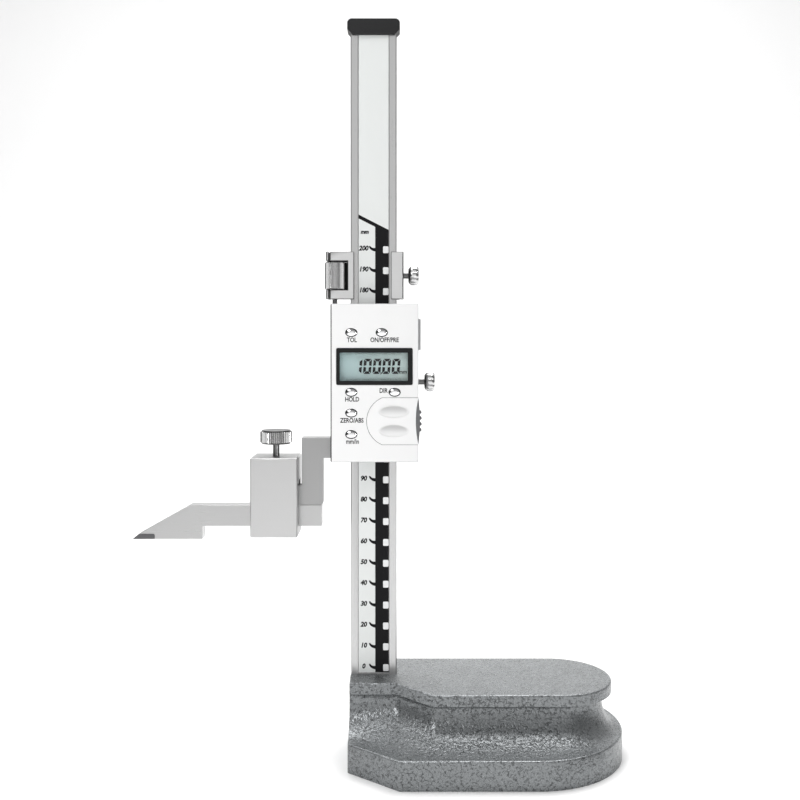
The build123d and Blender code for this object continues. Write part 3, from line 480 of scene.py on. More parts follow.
def settled(piece):
    """The piece with its modifiers turned into plain mesh."""
    depsgraph = bpy.context.evaluated_depsgraph_get()
    mesh = bpy.data.meshes.new_from_object(piece.evaluated_get(depsgraph))
    piece.modifiers.clear()
    piece.data = mesh
    return piece


def smooth_by_angle(piece, angle=35):
    """Shades the piece smooth, apart from edges sharper than the angle in degrees."""
    piece.data.shade_smooth()
    piece.data.set_sharp_from_angle(angle=radians(angle))
    return piece


def paint(piece, finish):
    piece.data.materials.clear()
    piece.data.materials.append(FINISH[finish])
    return piece


def settle_on(piece, node):
    """The piece stands for the node: it rides the node's body, and the node is hidden."""
    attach(piece, BODY_OF[node])
    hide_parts(node)
    return piece


def dressed(node, finish, edge):
    """A copy of the node with its sharp edges broken by edge millimetres."""
    bm = bmesh.new()
    bm.from_mesh(nodes[node].data)
    bmesh.ops.remove_doubles(bm, verts=bm.verts, dist=MERGE_WITHIN)
    bmesh.ops.dissolve_limit(bm, angle_limit=FLAT_WITHIN, verts=bm.verts, edges=bm.edges)
    piece = smooth_by_angle(piece_from(bm, node + "_dressed"))
    if edge:
        bevel = piece.modifiers.new("broken edges", "BEVEL")
        bevel.width = edge * MM
        bevel.segments = 2
        bevel.limit_method = "ANGLE"
        bevel.angle_limit = BREAK_FROM
        bevel.use_clamp_overlap = False
        bevel.harden_normals = True
        settled(piece)
    return settle_on(paint(piece, finish), node)


MACHINED = {
    "beam": ("beam", 0.12),
    "carriage": ("carriage", 0.28),
    "slider_frame": ("frame", 0.18),
    "keeper_plate": ("satin", 0.1),
    "clamp_box": ("satin", 0.12),
    "scriber_bar": ("ground", 0.15),
    "carbide_tip": ("carbide", 0.04),
    "beam_cap": ("black", 0.25),
    "battery_cover": ("cover", 0.1),
    "head_housing": ("silver", 0.0),
    "base_casting": ("enamel", 0.0),
}
made = {node: dressed(node, finish, edge) for node, (finish, edge) in MACHINED.items()}
print("machined pieces:", {node: len(piece.data.polygons) for node, piece in made.items()})

# %% [markdown]
# ## Painted shade on some faces
#
# The carriage's broken edges show as dark lines on its bright chrome, and the tops and
# right ends of carriage and clamp are darker than their fronts, from how the light falls.
# This shade is painted as a second, darker finish. Each could be a mask in the material.
# But these limits run along edges of the mesh, so the faces themselves take the painted
# shade, picked by where they look.

# %% Painted shade by facing
FACING = 0.9            # a face looks along an axis when its normal holds this much of it
OFF_AXIS = 0.96         # a face of a broken edge holds less than this of any axis


def paint_shade_on(piece, finish, test):
    """Gives the faces that pass the test a second, darker finish as painted shade."""
    piece.data.materials.append(FINISH[finish])
    index = len(piece.data.materials) - 1
    for face in piece.data.polygons:
        if test(face):
            face.material_index = index


def on_broken_edge(face):
    return max(abs(axis) for axis in face.normal) < OFF_AXIS


def up_or_right(face):
    return face.normal.z > FACING or face.normal.x > FACING


# Painted shade on the carriage's broken edges.
paint_shade_on(made["carriage"], "painted_shade", on_broken_edge)
# Painted shade on the tops and right ends of clamp and carriage.
paint_shade_on(made["clamp_box"], "frame", up_or_right)
paint_shade_on(made["carriage"], "frame", up_or_right)
print("carriage finishes:", [material.name for material in made["carriage"].data.materials])

# %% [markdown]
# ## The nodes that stay as they are
#
# Small screws, gibs, the inside of the head and the flat strip need no new mesh. A node
# of the frame is never moved or changed, it only takes a material.

# %% Finishes for plain nodes
KEPT = {
    "scale_strip": "scale",
    "beam_bolts": "screw",
    "carriage_gib": "bronze",
    "slider_gib": "bronze",
    "gib_screws": "screw",
    "keeper_screws": "screw",
    "housing_screws": "screw",
    "display_bezel": "bezel",
    "display_window": "window",
    "lcd_panel": "lcd",
    "zebra_strips": "rubber",
    "circuit_board": "board",
    "position_sensor": "board",
    "tact_switches": "black",
    "button_cell": "cell",
    "cell_tray": "black",
    "cell_contact": "brass",
    "port_cover": "port",
    "clamp_stud": "screw",
}
for node, finish in KEPT.items():
    paint(nodes[node], finish)
print("plain nodes:", len(KEPT))

# %% [markdown]
# ## Rows, rings and trees
#
# The scale's hooks, the thread's turns and a knob's teeth are one small shape, repeated.
# Copying them by hand would work, but a Geometry Nodes tree states the rule: so many
# copies, this far apart. Each tree takes its template and its sizes as named inputs. It
# ends in Realize Instances and Set Material, and the result is turned into plain mesh.


# %% A small builder for geometry trees
class GeometryTree:
    """A Geometry Nodes tree with named inputs, run once on an empty mesh."""

    def __init__(self, name, inputs):
        self.tree = bpy.data.node_groups.new(name, "GeometryNodeTree")
        self.identifiers = {}
        for label, kind in inputs.items():
            socket = self.tree.interface.new_socket(
                label, in_out="INPUT", socket_type="NodeSocket" + kind
            )
            self.identifiers[label] = socket.identifier
        self.tree.interface.new_socket(
            "Geometry", in_out="OUTPUT", socket_type="NodeSocketGeometry"
        )
        self.inputs = self.tree.nodes.new("NodeGroupInput")
        self.output = self.tree.nodes.new("NodeGroupOutput")

    def fill(self, slot, value):
        """Links a socket to the slot, or sets the slot to a plain value."""
        if isinstance(value, bpy.types.NodeSocket):
            self.tree.links.new(value, slot)
        else:
            slot.default_value = value

    def node(self, kind, settings=None, **values):
        """A node of that type. Its settings are set first, then its inputs by name."""
        node = self.tree.nodes.new(kind)
        for name, value in (settings or {}).items():
            setattr(node, name, value)
        for name, value in values.items():
            self.fill(node.inputs[name.replace("_", " ")], value)
        return node

    def maths(self, operation, first, second):
        """The result of a Math node on two sockets or numbers."""
        node = self.node("ShaderNodeMath", {"operation": operation})
        self.fill(node.inputs[0], first)
        self.fill(node.inputs[1], second)
        return node.outputs[0]

    def take(self, label):
        return self.inputs.outputs[label]

    def finish(self, instances):
        real = self.node("GeometryNodeRealizeInstances", Geometry=instances)
        coloured = self.node(
            "GeometryNodeSetMaterial",
            Geometry=real.outputs["Geometry"],
            Material=self.take("Material"),
        )
        self.tree.links.new(coloured.outputs["Geometry"], self.output.inputs["Geometry"])

    def grow(self, name, **values):
        """The tree's result for those inputs, as a plain linked object."""
        piece = link(bpy.data.objects.new(name, bpy.data.meshes.new(name)))
        modifier = piece.modifiers.new(name, "NODES")
        modifier.node_group = self.tree
        for label, value in values.items():
            modifier[self.identifiers[label]] = value
        return settled(piece)


print("tree builder ready")

# %% [markdown]
# ## A row
#
# The marks of a scale stand in a straight row. An Array modifier could repeat them too,
# but it always starts where its shape stands. Here a Mesh Line gives the places as points,
# from a first one and a step, and the template is put on each.

# %% The row tree
row_tree = GeometryTree(
    "row of copies",
    {"Template": "Object", "Copies": "Int", "First": "Vector", "Step": "Vector",
     "Material": "Material"},
)
line = row_tree.node(
    "GeometryNodeMeshLine",
    {"mode": "OFFSET"},
    Count=row_tree.take("Copies"),
    Start_Location=row_tree.take("First"),
    Offset=row_tree.take("Step"),
)
mark = row_tree.node("GeometryNodeObjectInfo", Object=row_tree.take("Template"))
row_copies = row_tree.node(
    "GeometryNodeInstanceOnPoints",
    Points=line.outputs["Mesh"],
    Instance=mark.outputs["Geometry"],
)
row_tree.finish(row_copies.outputs["Instances"])


def row_of(template, name, copies, first, step, finish):
    """A straight row of the template, which is then removed."""
    piece = row_tree.grow(
        name,
        Template=template,
        Copies=copies,
        First=first,
        Step=step,
        Material=FINISH[finish],
    )
    bpy.data.objects.remove(template)
    return piece


print("row tree nodes:", len(row_tree.tree.nodes))

# %% [markdown]
# ## A ring
#
# A knob's teeth stand in a ring. All the copies are put on one point, and each is turned
# about Z by its own number times the angle of one step.

# %% The ring tree
ring_tree = GeometryTree(
    "ring of copies", {"Template": "Object", "Copies": "Int", "Material": "Material"}
)
spots = ring_tree.node("GeometryNodePoints", Count=ring_tree.take("Copies"))
one_step = ring_tree.maths("DIVIDE", 2 * pi, ring_tree.take("Copies"))
number = ring_tree.node("GeometryNodeInputIndex")
turn = ring_tree.maths("MULTIPLY", number.outputs[0], one_step)
about_z = ring_tree.node("ShaderNodeCombineXYZ", Z=turn)
tooth = ring_tree.node("GeometryNodeObjectInfo", Object=ring_tree.take("Template"))
ring_copies = ring_tree.node(
    "GeometryNodeInstanceOnPoints",
    Points=spots.outputs["Points"],
    Instance=tooth.outputs["Geometry"],
    Rotation=about_z.outputs["Vector"],
)
ring_tree.finish(ring_copies.outputs["Instances"])


def ring_of(template, name, copies, finish):
    """The template turned about the Z axis, so many times."""
    piece = ring_tree.grow(name, Template=template, Copies=copies, Material=FINISH[finish])
    bpy.data.objects.remove(template)
    return piece


print("ring tree nodes:", len(ring_tree.tree.nodes))

# %% [markdown]
# ## Printed ink
#
# Print on metal or plastic is a film a few hundredths of a millimetre thick. It could be a
# mask in the material, but then a letter is only as sharp as the baked texture. Here each
# mark is a thin raised mesh, so it stays sharp at any distance. Flat outlines are drawn in
# X and Z and given the film's thickness.

# %% Films
FILM = 0.02 * MM


def film(name, outlines, front, finish, thickness=FILM):
    """Flat outlines in the XZ plane, standing proud of the plane y = front."""
    bm = bmesh.new()
    for outline in outlines:
        area = sum(
            a[0] * b[1] - b[0] * a[1] for a, b in zip(outline, outline[1:] + outline[:1])
        )
        ring = outline if area > 0 else outline[::-1]
        near = [bm.verts.new((x, front - thickness, z)) for x, z in ring]
        far = [bm.verts.new((x, front + thickness / 4, z)) for x, z in ring]
        bm.faces.new(near)
        bm.faces.new(far[::-1])
        for i in range(len(ring)):
            j = (i + 1) % len(ring)
            bm.faces.new((near[j], near[i], far[i], far[j]))
    bmesh.ops.recalc_face_normals(bm, faces=bm.faces)
    return paint(piece_from(bm, name), finish)


def round_box(x0, x1, z0, z1, radius, steps=5):
    """A rectangle with rounded corners, as an outline."""
    centres = [(x1 - radius, z1 - radius, 0), (x0 + radius, z1 - radius, 1),
               (x0 + radius, z0 + radius, 2), (x1 - radius, z0 + radius, 3)]
    outline = []
    for cx, cz, quarter in centres:
        for i in range(steps + 1):
            angle = pi / 2 * (quarter + i / steps)
            outline.append((cx + radius * cos(angle), cz + radius * sin(angle)))
    return outline


print("ink film", FILM / MM, "mm")

# %% [markdown]
# ## Letters
#
# Words and figures come from Blender's own text curves, which can be slanted, made
# bolder by an offset and extruded to the film's thickness. A text is made a mesh first
# and stood upright and put in its place after, so that its object stays at the origin.


# %% Letters as a film
def letters(name, words, front, finish, shear=0.0, weight=0.0, narrow=1.0):
    """One mesh for several words: each is (text, x, z, height), with its middle there."""
    bm = bmesh.new()
    upright = Matrix.Rotation(pi / 2, 4, "X") @ Matrix.Diagonal((narrow, 1, 1, 1))
    for text, x, z, height in words:
        curve = bpy.data.curves.new(text, "FONT")
        curve.body = text
        curve.size = height
        curve.shear = shear
        curve.offset = weight
        curve.extrude = FILM / 2
        curve.resolution_u = 3
        curve.align_x = "CENTER"
        curve.align_y = "CENTER"
        text_piece = link(bpy.data.objects.new(text, curve))
        depsgraph = bpy.context.evaluated_depsgraph_get()
        mesh = bpy.data.meshes.new_from_object(text_piece.evaluated_get(depsgraph))
        mesh.transform(Matrix.Translation((x, front - FILM / 2, z)) @ upright)
        bm.from_mesh(mesh)
        bpy.data.objects.remove(text_piece)
        bpy.data.meshes.remove(mesh)
    bmesh.ops.remove_doubles(bm, verts=bm.verts, dist=0.001 * MM)
    return paint(piece_from(bm, name), finish)


def printed(pieces, body):
    """The pieces ride on the body."""
    for piece in pieces:
        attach(piece, body)


print("letters are", FILM / MM, "mm thick too")

# %% [markdown]
# ## The scale's black band
#
# The strip in the beam's groove is pale on the left, where the figures are, and black on
# the right. Above the last figure the band runs off to the left in a slanting bar. The
# band could be a second colour in the strip's material, but its edge has to be as crisp
# as the figures beside it, so it is one outline of ink. The marks' spacing is real: the
# zero line stands `ZERO_ABOVE` over the deck of the base.

# %% Band
ZERO_ABOVE = 3.0 * MM
MARK_STEP = 10 * MM
MARKS = 21
BAND_LEFT = 0.75 * MM
BAR_TOP_RIGHT = 9.5 * MM      # the slanting bar's corners, above the last mark
BAR_TOP_LEFT = 16.8 * MM
BAR_LOW_LEFT = 14.9 * MM
BAR_LOW_RIGHT = 10.9 * MM
strip_low, strip_high = span("scale_strip")
ink_front = strip_low.y
zero_line = span("base_casting")[1].z + ZERO_ABOVE
last_mark = zero_line + (MARKS - 1) * MARK_STEP
band = film(
    "scale_band",
    [[
        (BAND_LEFT, strip_low.z),
        (strip_high.x, strip_low.z),
        (strip_high.x, last_mark + BAR_TOP_RIGHT),
        (strip_low.x, last_mark + BAR_TOP_LEFT),
        (strip_low.x, last_mark + BAR_LOW_LEFT),
        (BAND_LEFT, last_mark + BAR_LOW_RIGHT),
    ]],
    ink_front,
    "ink",
)
print("scale from", zero_line / MM, "to", last_mark / MM, "mm above the plate")

# %% [markdown]
# ## Hooks and squares
#
# Every ten millimetres a hooked stroke springs from the black band, and a white square
# stands at the band's edge. Each is drawn once at the height 0 and repeated by the row
# tree. The hook is an arc of an ellipse whose thickness dwindles to its tip. The squares
# lie on the band, one film further out, so that the two don't share a face.

# %% Hooks and squares in rows
HOOK_REACH = 2.9 * MM
HOOK_RISE = 2.3 * MM
HOOK_THICK = 1.7 * MM
HOOK_ROOT = 0.1 * MM          # the hook starts this far inside the band
HOOK_SWEEP = pi / 2 * 0.86
HOOK_TAPER = 0.62             # the share of its thickness that it loses by its tip
SQUARE_WIDTH = 2.65 * MM
SQUARE_HEIGHT = 3.3 * MM
SQUARE_ROUND = 0.5 * MM


def hook_outline(steps=10):
    """A stroke that leaves the band level and curls up to a thin tip."""
    upper, lower = [], []
    for i in range(steps + 1):
        angle = HOOK_SWEEP * i / steps
        thick = HOOK_THICK * (1 - HOOK_TAPER * i / steps) / 2
        x = BAND_LEFT + HOOK_ROOT - HOOK_REACH * sin(angle)
        z = HOOK_RISE * (1 - cos(angle))
        upper.append((x + thick * sin(angle), z + thick * cos(angle)))
        lower.append((x - thick * sin(angle), z - thick * cos(angle)))
    return lower + upper[::-1]


def at_each_mark(template, name, finish):
    return row_of(template, name, MARKS, (0, 0, zero_line), (0, 0, MARK_STEP), finish)


square_outline = round_box(
    strip_high.x - SQUARE_WIDTH, strip_high.x, -SQUARE_HEIGHT / 2, SQUARE_HEIGHT / 2,
    SQUARE_ROUND,
)
hook = film("hook", [hook_outline()], ink_front, "ink")
square = film("square", [square_outline], ink_front - FILM, "white_ink", FILM / 2)
hooks = at_each_mark(hook, "scale_hooks", "ink")
squares = at_each_mark(square, "scale_squares", "white_ink")
print("marks:", MARKS)

# %% [markdown]
# ## Figures
#
# The figures lean forward and stand a little above their marks, with the unit over them.

# %% Scale figures
FIGURE_PLACE = -4.85 * MM
FIGURE_LIFT = 0.65 * MM
FIGURE_HEIGHT = 3.1 * MM
UNIT_PLACE = -4.3 * MM
UNIT_LIFT = 8.5 * MM
UNIT_HEIGHT = 2.6 * MM
figure_words = [
    (str(10 * i), FIGURE_PLACE, zero_line + i * MARK_STEP + FIGURE_LIFT, FIGURE_HEIGHT)
    for i in range(MARKS)
]
figures = letters(
    "scale_figures",
    [*figure_words, ("mm", UNIT_PLACE, last_mark + UNIT_LIFT, UNIT_HEIGHT)],
    ink_front,
    "ink",
    shear=0.2,
    weight=0.15 * MM,
    narrow=0.94,
)
printed([band, hooks, squares, figures], "stand")
print("figures up to", figure_words[-1][0])

# %% [markdown]
# ## The display
#
# A seven-segment figure is made of bars with slanted ends, leaning a few degrees. A font
# with such figures would be another file to carry, and each bar is only four points, so
# they are drawn. They lie just in front of the panel, behind the clear window, as a film
# like the ink.

# %% One segment
DIGIT_HEIGHT = 7.1 * MM
DIGIT_WIDTH = 3.7 * MM
STROKE = 1.25 * MM
SEGMENT_GAP = 0.08 * MM
SEGMENTS = {"0": "abcdef", "1": "bc"}    # a top, b and c right, d bottom, e and f left


def level_segment(kind):
    """The top or the bottom bar of a figure centred on the origin, as an outline."""
    w = DIGIT_WIDTH / 2
    edge = DIGIT_HEIGHT / 2 if kind == "a" else -DIGIT_HEIGHT / 2
    inner = edge - STROKE if kind == "a" else edge + STROKE
    start = w - SEGMENT_GAP - STROKE * 0.15
    return [(-start, edge), (start, edge), (w - STROKE, inner), (STROKE - w, inner)]


def upright_segment(kind):
    """One of the four upright bars, slanted more at its outer end than at its middle."""
    edge = DIGIT_WIDTH / 2 if kind in "bc" else -DIGIT_WIDTH / 2
    inner = edge - STROKE if kind in "bc" else edge + STROKE
    half = 1 if kind in "bf" else -1
    outer_end = half * (DIGIT_HEIGHT / 2 - SEGMENT_GAP - STROKE * 0.2)
    middle_end = half * (SEGMENT_GAP + STROKE * 0.1)
    return [(edge, outer_end), (edge, middle_end), (inner, middle_end + half * STROKE * 0.25),
            (inner, outer_end - half * STROKE * 0.8)]


print("segments of 0:", SEGMENTS["0"], "and of 1:", SEGMENTS["1"])

# %% [markdown]
# ## The reading
#
# The display shows 100.00, the height at which the scriber stands at rest. The figures
# stand at an even pitch, with a point between the third and the fourth.

# %% Figures on the panel
DIGIT_LEAN = 0.09
DIGIT_PITCH = 4.45 * MM
READING = "10000"
READING_LEFT = 3.3 * MM       # the second figure's middle, left of the bezel's middle
POINT_SHAPE = ((-0.45, -0.3), (0.2, 0.0), (0.5, 0.8), (-0.1, 0.7))
lcd_front = span("lcd_panel")[0].y
lcd_middle = middle("display_bezel")


def digit(figure, x, z):
    outlines = []
    for kind in SEGMENTS[figure]:
        outline = level_segment(kind) if kind in "ad" else upright_segment(kind)
        outlines.append([(x + px + pz * DIGIT_LEAN, z + pz) for px, pz in outline])
    return outlines


second_digit = lcd_middle.x - READING_LEFT
reading = []
for i, figure in enumerate(READING):
    reading += digit(figure, second_digit + (i - 1) * DIGIT_PITCH, lcd_middle.z)
point_x = second_digit + 1.5 * DIGIT_PITCH - DIGIT_HEIGHT / 2 * DIGIT_LEAN
point_z = lcd_middle.z - DIGIT_HEIGHT / 2
reading.append([(point_x + dx * MM, point_z + dz * MM) for dx, dz in POINT_SHAPE])
digits = film("display_digits", reading, lcd_front, "ink")
unit = letters(
    "display_unit",
    [("mm", lcd_middle.x + 13.2 * MM, lcd_middle.z - 2.6 * MM, 2.4 * MM)],
    lcd_front,
    "ink",
    shear=0.15,
    weight=0.07 * MM,
)
printed([digits, unit], "head")
print("display reads 100.00 at", round(lcd_front / MM, 2), "mm")

# %% [markdown]
# ## Keys
#
# The keys are small bright domes, each set in a thin black ring that paints the shadow in
# the gap round it. The dome is made as rings of a grid whose height falls with the square
# of the distance, so its slope grows evenly to the rim and it mirrors a wide part of the
# room, dark on one side and bright on the other. A scaled sphere would be too flat at the
# crown and too steep at the rim.

# %% Key caps
KEY_RINGS = 10
KEY_POINTS = 56
KEY_FLANGE = 0.5 * MM
GAP_SHADE = 0.36 * MM
GAP_SHADE_PROUD = 0.12 * MM
GAP_SHADE_SINK = 0.02 * MM
GAP_SHADE_BACK = 0.1 * MM
DOME_DROP = 0.85              # how much of the key's height its dome falls by


def ellipse(centre, width, height, points):
    """Points round an ellipse in the XZ plane."""
    angles = [2 * pi * i / points for i in range(points)]
    return [
        (centre.x + width / 2 * cos(angle), centre.z + height / 2 * sin(angle))
        for angle in angles
    ]


def key_outline(node, inset):
    """The middle, width and height of the key's oval, drawn smaller by the inset."""
    low, high = span(node)
    width = high.x - low.x - 2 * (KEY_FLANGE + inset)
    height = high.z - low.z - 2 * (KEY_FLANGE + inset)
    return middle(node), width, height


def oval_skin(name, centre, width, height, levels, back):
    """Rings of an oval from the crown out, each a (share, y) pair, closed at the back."""
    bm = bmesh.new()
    rings = [
        [
            bm.verts.new((x, y, z))
            for x, z in ellipse(centre, width * share, height * share, KEY_POINTS)
        ]
        for share, y in [*levels, (1.0, back)]
    ]
    for inner, outer in zip(rings, rings[1:]):
        for i in range(KEY_POINTS):
            j = (i + 1) % KEY_POINTS
            bm.faces.new((inner[i], outer[i], outer[j], inner[j]))
    bm.faces.new(rings[0][::-1])
    bm.faces.new(rings[-1])
    bmesh.ops.recalc_face_normals(bm, faces=bm.faces)
    return piece_from(bm, name)


def joined(name, pieces):
    """One object from several, keeping each piece's materials."""
    bm = bmesh.new()
    materials = []
    for piece in pieces:
        offset = len(bm.faces)
        bm.from_mesh(piece.data)
        bm.faces.ensure_lookup_table()
        for face in bm.faces[offset:]:
            material = piece.data.materials[face.material_index]
            if material not in materials:
                materials.append(material)
            face.material_index = materials.index(material)
    whole = piece_from(bm, name)
    for material in materials:
        whole.data.materials.append(material)
    for piece in pieces:
        bpy.data.objects.remove(piece)
    return whole


def key_cap(node):
    """A bright dome in a black ring of painted gap shadow, running back into the housing."""
    low, high = span(node)
    drop = (housing_low.y - low.y) * DOME_DROP
    shares = [i / KEY_RINGS for i in range(1, KEY_RINGS + 1)]
    dome = oval_skin(
        node + "_dome",
        *key_outline(node, GAP_SHADE),
        [(share, low.y + drop * share**2) for share in shares],
        high.y,
    )
    brim = housing_low.y - GAP_SHADE_PROUD
    gap_shade = oval_skin(
        node + "_sleeve",
        *key_outline(node, 0.0),
        [(0.8, brim), (0.97, brim), (1.0, housing_low.y - GAP_SHADE_SINK)],
        high.y - GAP_SHADE_BACK,
    )
    paint(smooth_by_angle(dome, 50), "key")
    # The ring's black is painted shadow of the gap round the key.
    paint(smooth_by_angle(gap_shade, 30), "bezel")
    return settle_on(joined(node + "_cap", [dome, gap_shade]), node)


KEYS = [name for name in nodes if name.startswith("button_") and name != "button_cell"]
for key in KEYS:
    key_cap(key)
print("keys:", KEYS)

# %% [markdown]
# ## Words beside the keys
#
# Each key has its word under it, and one has it at its side. A word is placed from its
# key's middle, so it stays with the key.

# %% Key words
WORD_HEIGHT = 3.0 * MM
KEY_WORDS = {
    "button_tolerance": ("TOL", 0.3, -3.5),
    "button_on_off": ("ON/OFF/PRE", 1.3, -3.5),
    "button_hold": ("HOLD", 0.4, -3.35),
    "button_direction": ("DIR", -5.2, 0.7),
    "button_zero": ("ZERO/ABS", 0.3, -3.5),
    "button_unit": ("mm/in", 0.6, -3.3),
}
key_words = letters(
    "key_words",
    [
        (text, middle(key).x + dx * MM, middle(key).z + dz * MM, WORD_HEIGHT)
        for key, (text, dx, dz) in KEY_WORDS.items()
    ],
    housing_low.y,
    "ink",
    weight=0.08 * MM,
    narrow=0.8,
)
printed([key_words], "head")
print("words:", len(key_words.data.polygons), "faces")

# %% [markdown]
# ## The battery cover's outline
#
# The cover is a flush plate with a round end. Its joint with the housing is a shadow line
# as thin as a hair. The real gap is in the frame already, but a hair's width is lost
# between two pale surfaces, so its shadow is painted as a film: black along the top and
# round the end, and grey along the lower edge, which catches more light. The round end is
# an arc, and its radius follows from the cover's height and from how far the end bows out.

# %% Shadow line
TONGUE = 0.8 * MM             # the cover's tongues are hidden above and below its face
ROUND_END = 7.2 * MM          # how far the round end bows out
LINE_INSIDE = 0.02 * MM
LINE_OUTSIDE = 0.16 * MM
cover_low, cover_high = span("battery_cover")
cover_level = middle("battery_cover").z
cover_half = (cover_high.z - cover_low.z) / 2 - TONGUE
end_radius = (cover_half**2 + ROUND_END**2) / (2 * ROUND_END)
end_sweep = atan(cover_half / (end_radius - ROUND_END))


def cover_edge(grow, steps=28):
    """The cover's outline from the upper right, round the left end, to the lower right."""
    centre = cover_low.x + end_radius
    reach = end_radius + grow
    points = [(housing_high.x, cover_level + cover_half + grow)]
    for i in range(steps + 1):
        angle = end_sweep * (1 - 2 * i / steps)
        points.append((centre - reach * cos(angle), cover_level + reach * sin(angle)))
    points.append((housing_high.x, cover_level - cover_half - grow))
    return points


def strip_between(name, first, second, front, finish):
    """A film that joins two outlines of equal length, point by point."""
    quads = [
        [first[i], first[i + 1], second[i + 1], second[i]] for i in range(len(first) - 1)
    ]
    return film(name, quads, front, finish)


inner_edge = cover_edge(-LINE_INSIDE)
outer_edge = cover_edge(LINE_OUTSIDE)
shadow_line = strip_between(
    "cover_shadow", inner_edge[:-1], outer_edge[:-1], housing_low.y, "ink"
)
# The lower edge's grey is painted shade, lighter where the groove meets more light.
lower_shade = strip_between(
    "cover_lower_line", inner_edge[-2:], outer_edge[-2:], housing_low.y, "label"
)
printed([shadow_line, lower_shade], "head")
print("cover end radius", round(end_radius / MM, 2), "mm")

# %% [markdown]
# ## The ribbed grip
#
# At its right end the cover bulges from the housing's side, with ribs for the thumb. The
# ribs are in the frame. The bulge turns away from the light, so its shade is painted dark
# grey on the ribs, and from the front the shade shows as a slim lens, between one arc that
# lies on the cover and one on the bulge.

# %% Grip
GRIP_ENDS = 0.15 * MM
GRIP_LEFT = (0.1 * MM, 1.15 * MM)        # at its ends and more in its middle
GRIP_BULGE = 0.72 * MM
RIBS_FROM = 0.05 * MM                    # the ribs start this far outside the housing


def grip_face(steps=20):
    """The lens of painted shade on the grip's front: an arc on each side."""
    at_ends, more = GRIP_LEFT
    left, right = [], []
    for i in range(steps + 1):
        t = 1 - 2 * i / steps
        z = cover_level + t * (cover_half - GRIP_ENDS)
        bow = 1 - t * t
        left.append((housing_high.x - at_ends - more * bow, z))
        right.append((housing_high.x + GRIP_BULGE * bow, z))
    return left, right


# A film of painted shade on the grip's front.
grip = strip_between("cover_grip", *grip_face(), cover_low.y, "grip")
printed([grip], "battery_cover")
# The ribs' faces take the dark grey as painted shade.
paint_shade_on(made["battery_cover"], "grip", lambda face: face.center.x > housing_high.x + RIBS_FROM)
print("grip faces:", len(grip.data.polygons))

# %% [markdown]
# ## Painted shade round the housing
#
# The rounded rim and sides of the head's white housing turn away from the light and mirror
# the darker room, so they are painted grey as shade and reflection, and draw a fine grey
# line round the front. Down its left edge the steel frame behind it stands out a hair, and
# throws a black line on it: a painted shadow. The rim takes another material, and the line
# is a film.

# %% Rim and left line
RIM_FROM = 0.45               # a face of the rim leans at least this much to the side
LINE = 0.5 * MM
LINE_INSET = 0.04 * MM
LINE_ENDS = 0.3 * MM
LINE_ROUND = 0.15 * MM
LINE_SINK = 0.2 * MM
LINE_THICK = 0.22 * MM
# The rim's faces take grey as painted shade and reflection.
paint_shade_on(
    made["head_housing"],
    "rim_shade",
    lambda face: abs(face.normal.x) + abs(face.normal.z) > RIM_FROM,
)
line_left = housing_low.x + LINE_INSET
line_outline = round_box(
    line_left, line_left + LINE, housing_low.z + LINE_ENDS, housing_high.z - LINE_ENDS,
    LINE_ROUND,
)
# A black film of painted shadow down the left edge.
left_shadow = film(
    "housing_left_line", [line_outline], housing_low.y + LINE_SINK, "bezel", LINE_THICK
)
printed([left_shadow], "head")
rim_faces = sum(face.material_index for face in made["head_housing"].data.polygons)
print("moulding faces:", rim_faces)

# %% [markdown]
# ## Painted shade behind the fine nut
#
# The carriage has a window in which the fine nut turns. Its back wall lies in shade, and
# the shade is painted black, so the bright nut stands out. The wall is a face that the
# nut's gap hides in part, so instead of a mask a thin black plate of painted shade is laid
# against it.

# %% Window shade plate
SHADE_PLATE_LEFT = 0.3 * MM        # from the carriage's left side
SHADE_PLATE_RIGHT = 1.25 * MM      # from the beam
SHADE_PLATE_OVER = 0.25 * MM       # past the nut's ends
SHADE_PLATE_ROUND = 0.2 * MM
SHADE_PLATE_INSET = 0.15 * MM
SHADE_PLATE_THICK = 0.3 * MM
nut_low, nut_high = span("fine_adjust_nut")
carriage_low, carriage_high = span("carriage")
shade_plate_outline = round_box(
    carriage_low.x + SHADE_PLATE_LEFT, span("beam")[0].x - SHADE_PLATE_RIGHT,
    nut_low.z - SHADE_PLATE_OVER, nut_high.z + SHADE_PLATE_OVER, SHADE_PLATE_ROUND,
)
# A thin black plate of painted shade on the window's back wall.
shade_plate = film(
    "nut_window_lining", [shade_plate_outline], carriage_high.y - SHADE_PLATE_INSET, "bezel",
    SHADE_PLATE_THICK,
)
printed([shade_plate], "carriage")
print("lining:", len(shade_plate.data.polygons), "faces")

# %% [markdown]
# ## Turned skins
#
# Knobs, studs and the nut are turned parts, so each is a profile of radius and height
# swept round Z. The Screw modifier could sweep it, but the lock knobs need a wave in the
# radius as well, and a loop over angles gives both.


# %% A turned skin
def turned(name, profile, points=72, lobes=0, wave=0.0):
    """A closed skin round Z from (radius, height) pairs; lobes press the radius in."""
    bm = bmesh.new()
    rings = []
    for radius, height in profile:
        ring = []
        for i in range(points):
            angle = 2 * pi * i / points
            press = wave * (abs(cos(lobes * angle / 2)) ** 0.7 - 1)
            r = radius * (1 + press)
            ring.append(bm.verts.new((r * cos(angle), r * sin(angle), height)))
        rings.append(ring)
    for lower, upper in zip(rings, rings[1:]):
        for i in range(points):
            j = (i + 1) % points
            bm.faces.new((lower[i], lower[j], upper[j], upper[i]))
    bm.faces.new(rings[0][::-1])
    bm.faces.new(rings[-1])
    return piece_from(bm, name)


def moved(piece, place, turn=None):
    """The mesh turned and moved; the object itself stays at the origin."""
    piece.data.transform(Matrix.Translation(place) @ (turn or Matrix.Identity(4)))
    return piece


TO_X = Matrix.Rotation(pi / 2, 4, "Y")
print("a skin turned about Z lies along X after", TO_X.to_euler())

